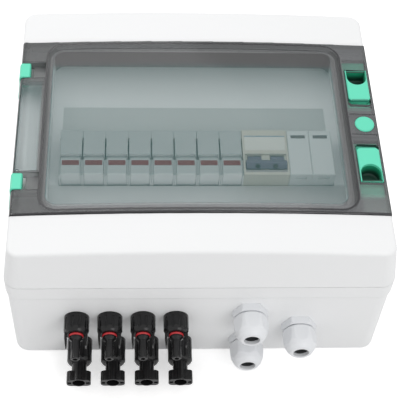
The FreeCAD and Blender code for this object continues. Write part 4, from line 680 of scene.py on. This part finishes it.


# Each liner with its end lip is a thin sheet of painted shade laid in the latch's hollow.
for word, side in (("upper", 1), ("lower", -1)):
    inner, inner_end = scoop_radius - shade_liner_wall, scoop_end - shade_liner_wall
    floor_top = shade_liner_base + floor_thick
    rings = [scoop_ring(scoop_radius, scoop_end, shade_liner_base, side),
             scoop_ring(scoop_radius, scoop_end, shade_liner_top, side),
             scoop_ring(inner, inner_end, shade_liner_top, side),
             scoop_ring(inner, inner_end, floor_top + chamfer_up, side),
             scoop_ring(inner - chamfer_across, inner_end - chamfer_across, floor_top, side)]
    count = len(rings[0])
    faces = [(ring * count + step, ring * count + (step + 1) % count,
              (ring + 1) * count + (step + 1) % count, (ring + 1) * count + step)
             for ring in range(len(rings) - 1) for step in range(count)]
    floor_start, lip_first = (len(rings) - 1) * count, len(rings) * count
    faces += [tuple(range(floor_start, lip_first)), tuple(reversed(range(count)))]
    lip = [(scoop_x + x, side * y, height) for height in (lip_base, lip_top)
           for x, y in ((-scoop_radius, lip_start), (scoop_radius, lip_start),
                        (scoop_radius, lip_end), (-scoop_radius, lip_end))]
    faces += [tuple(lip_first + corner for corner in face) for face in
              ((0, 3, 2, 1), (4, 5, 6, 7), (0, 1, 5, 4), (1, 2, 6, 5), (2, 3, 7, 6), (3, 0, 4, 7))]
    mesh = bpy.data.meshes.new(f"scoop_shade_liner_{word}")
    mesh.from_pydata([tuple(part / per_metre for part in point) for ring in rings + [lip]
                      for point in ring], [], faces)
    shape = bmesh.new()
    shape.from_mesh(mesh)
    bmesh.ops.recalc_face_normals(shape, faces=shape.faces)
    shape.to_mesh(mesh)
    shape.free()
    mesh.materials.append(scoop_shade_green)
    shade_liner = bpy.data.objects.new(f"scoop_shade_liner_{word}", mesh)
    bpy.context.scene.collection.objects.link(shade_liner)
    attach(shade_liner, f"latch_{word}")

# Plug-in connectors: four above and four below, in glossy black plastic, with ribbed coupling
# nuts and red rubber seal rings. Each passes through the near wall, where a locknut holds it.
black = moulded_plastic("glossy_black", srgb(27, 27, 28), spread=0.2, roughness=0.2,
                        grain_scale=1600.0, grain_height=0.00001, edge=0.0005, specular=0.3)
for step in range(1, 5):
    finish(black, f"upper_connector_{step}", f"lower_connector_{step}")
finish(black, "upper_connector_nuts", "lower_connector_nuts", "connector_locknuts")
finish(moulded_plastic("red_ring", srgb(190, 44, 50), spread=0.06, roughness=0.35,
                       roughness_spread=0.05, grain_scale=1200.0, grain_height=0.000008,
                       edge=0.0002), "seal_rings")

# Cable glands: three fittings of off-white nylon, each with a flanged body and a domed clamping
# nut with spanner flats. A locknut of the same nylon holds each one from inside the wall.
nylon = moulded_plastic("gland_nylon", srgb(232, 234, 237), spread=0.02, roughness=0.42,
                        grain_scale=1500.0, grain_height=0.000012, edge=0.0008)
for step in range(1, 4):
    finish(nylon, f"gland_body_{step}", f"gland_nut_{step}")
finish(nylon, "gland_locknuts")
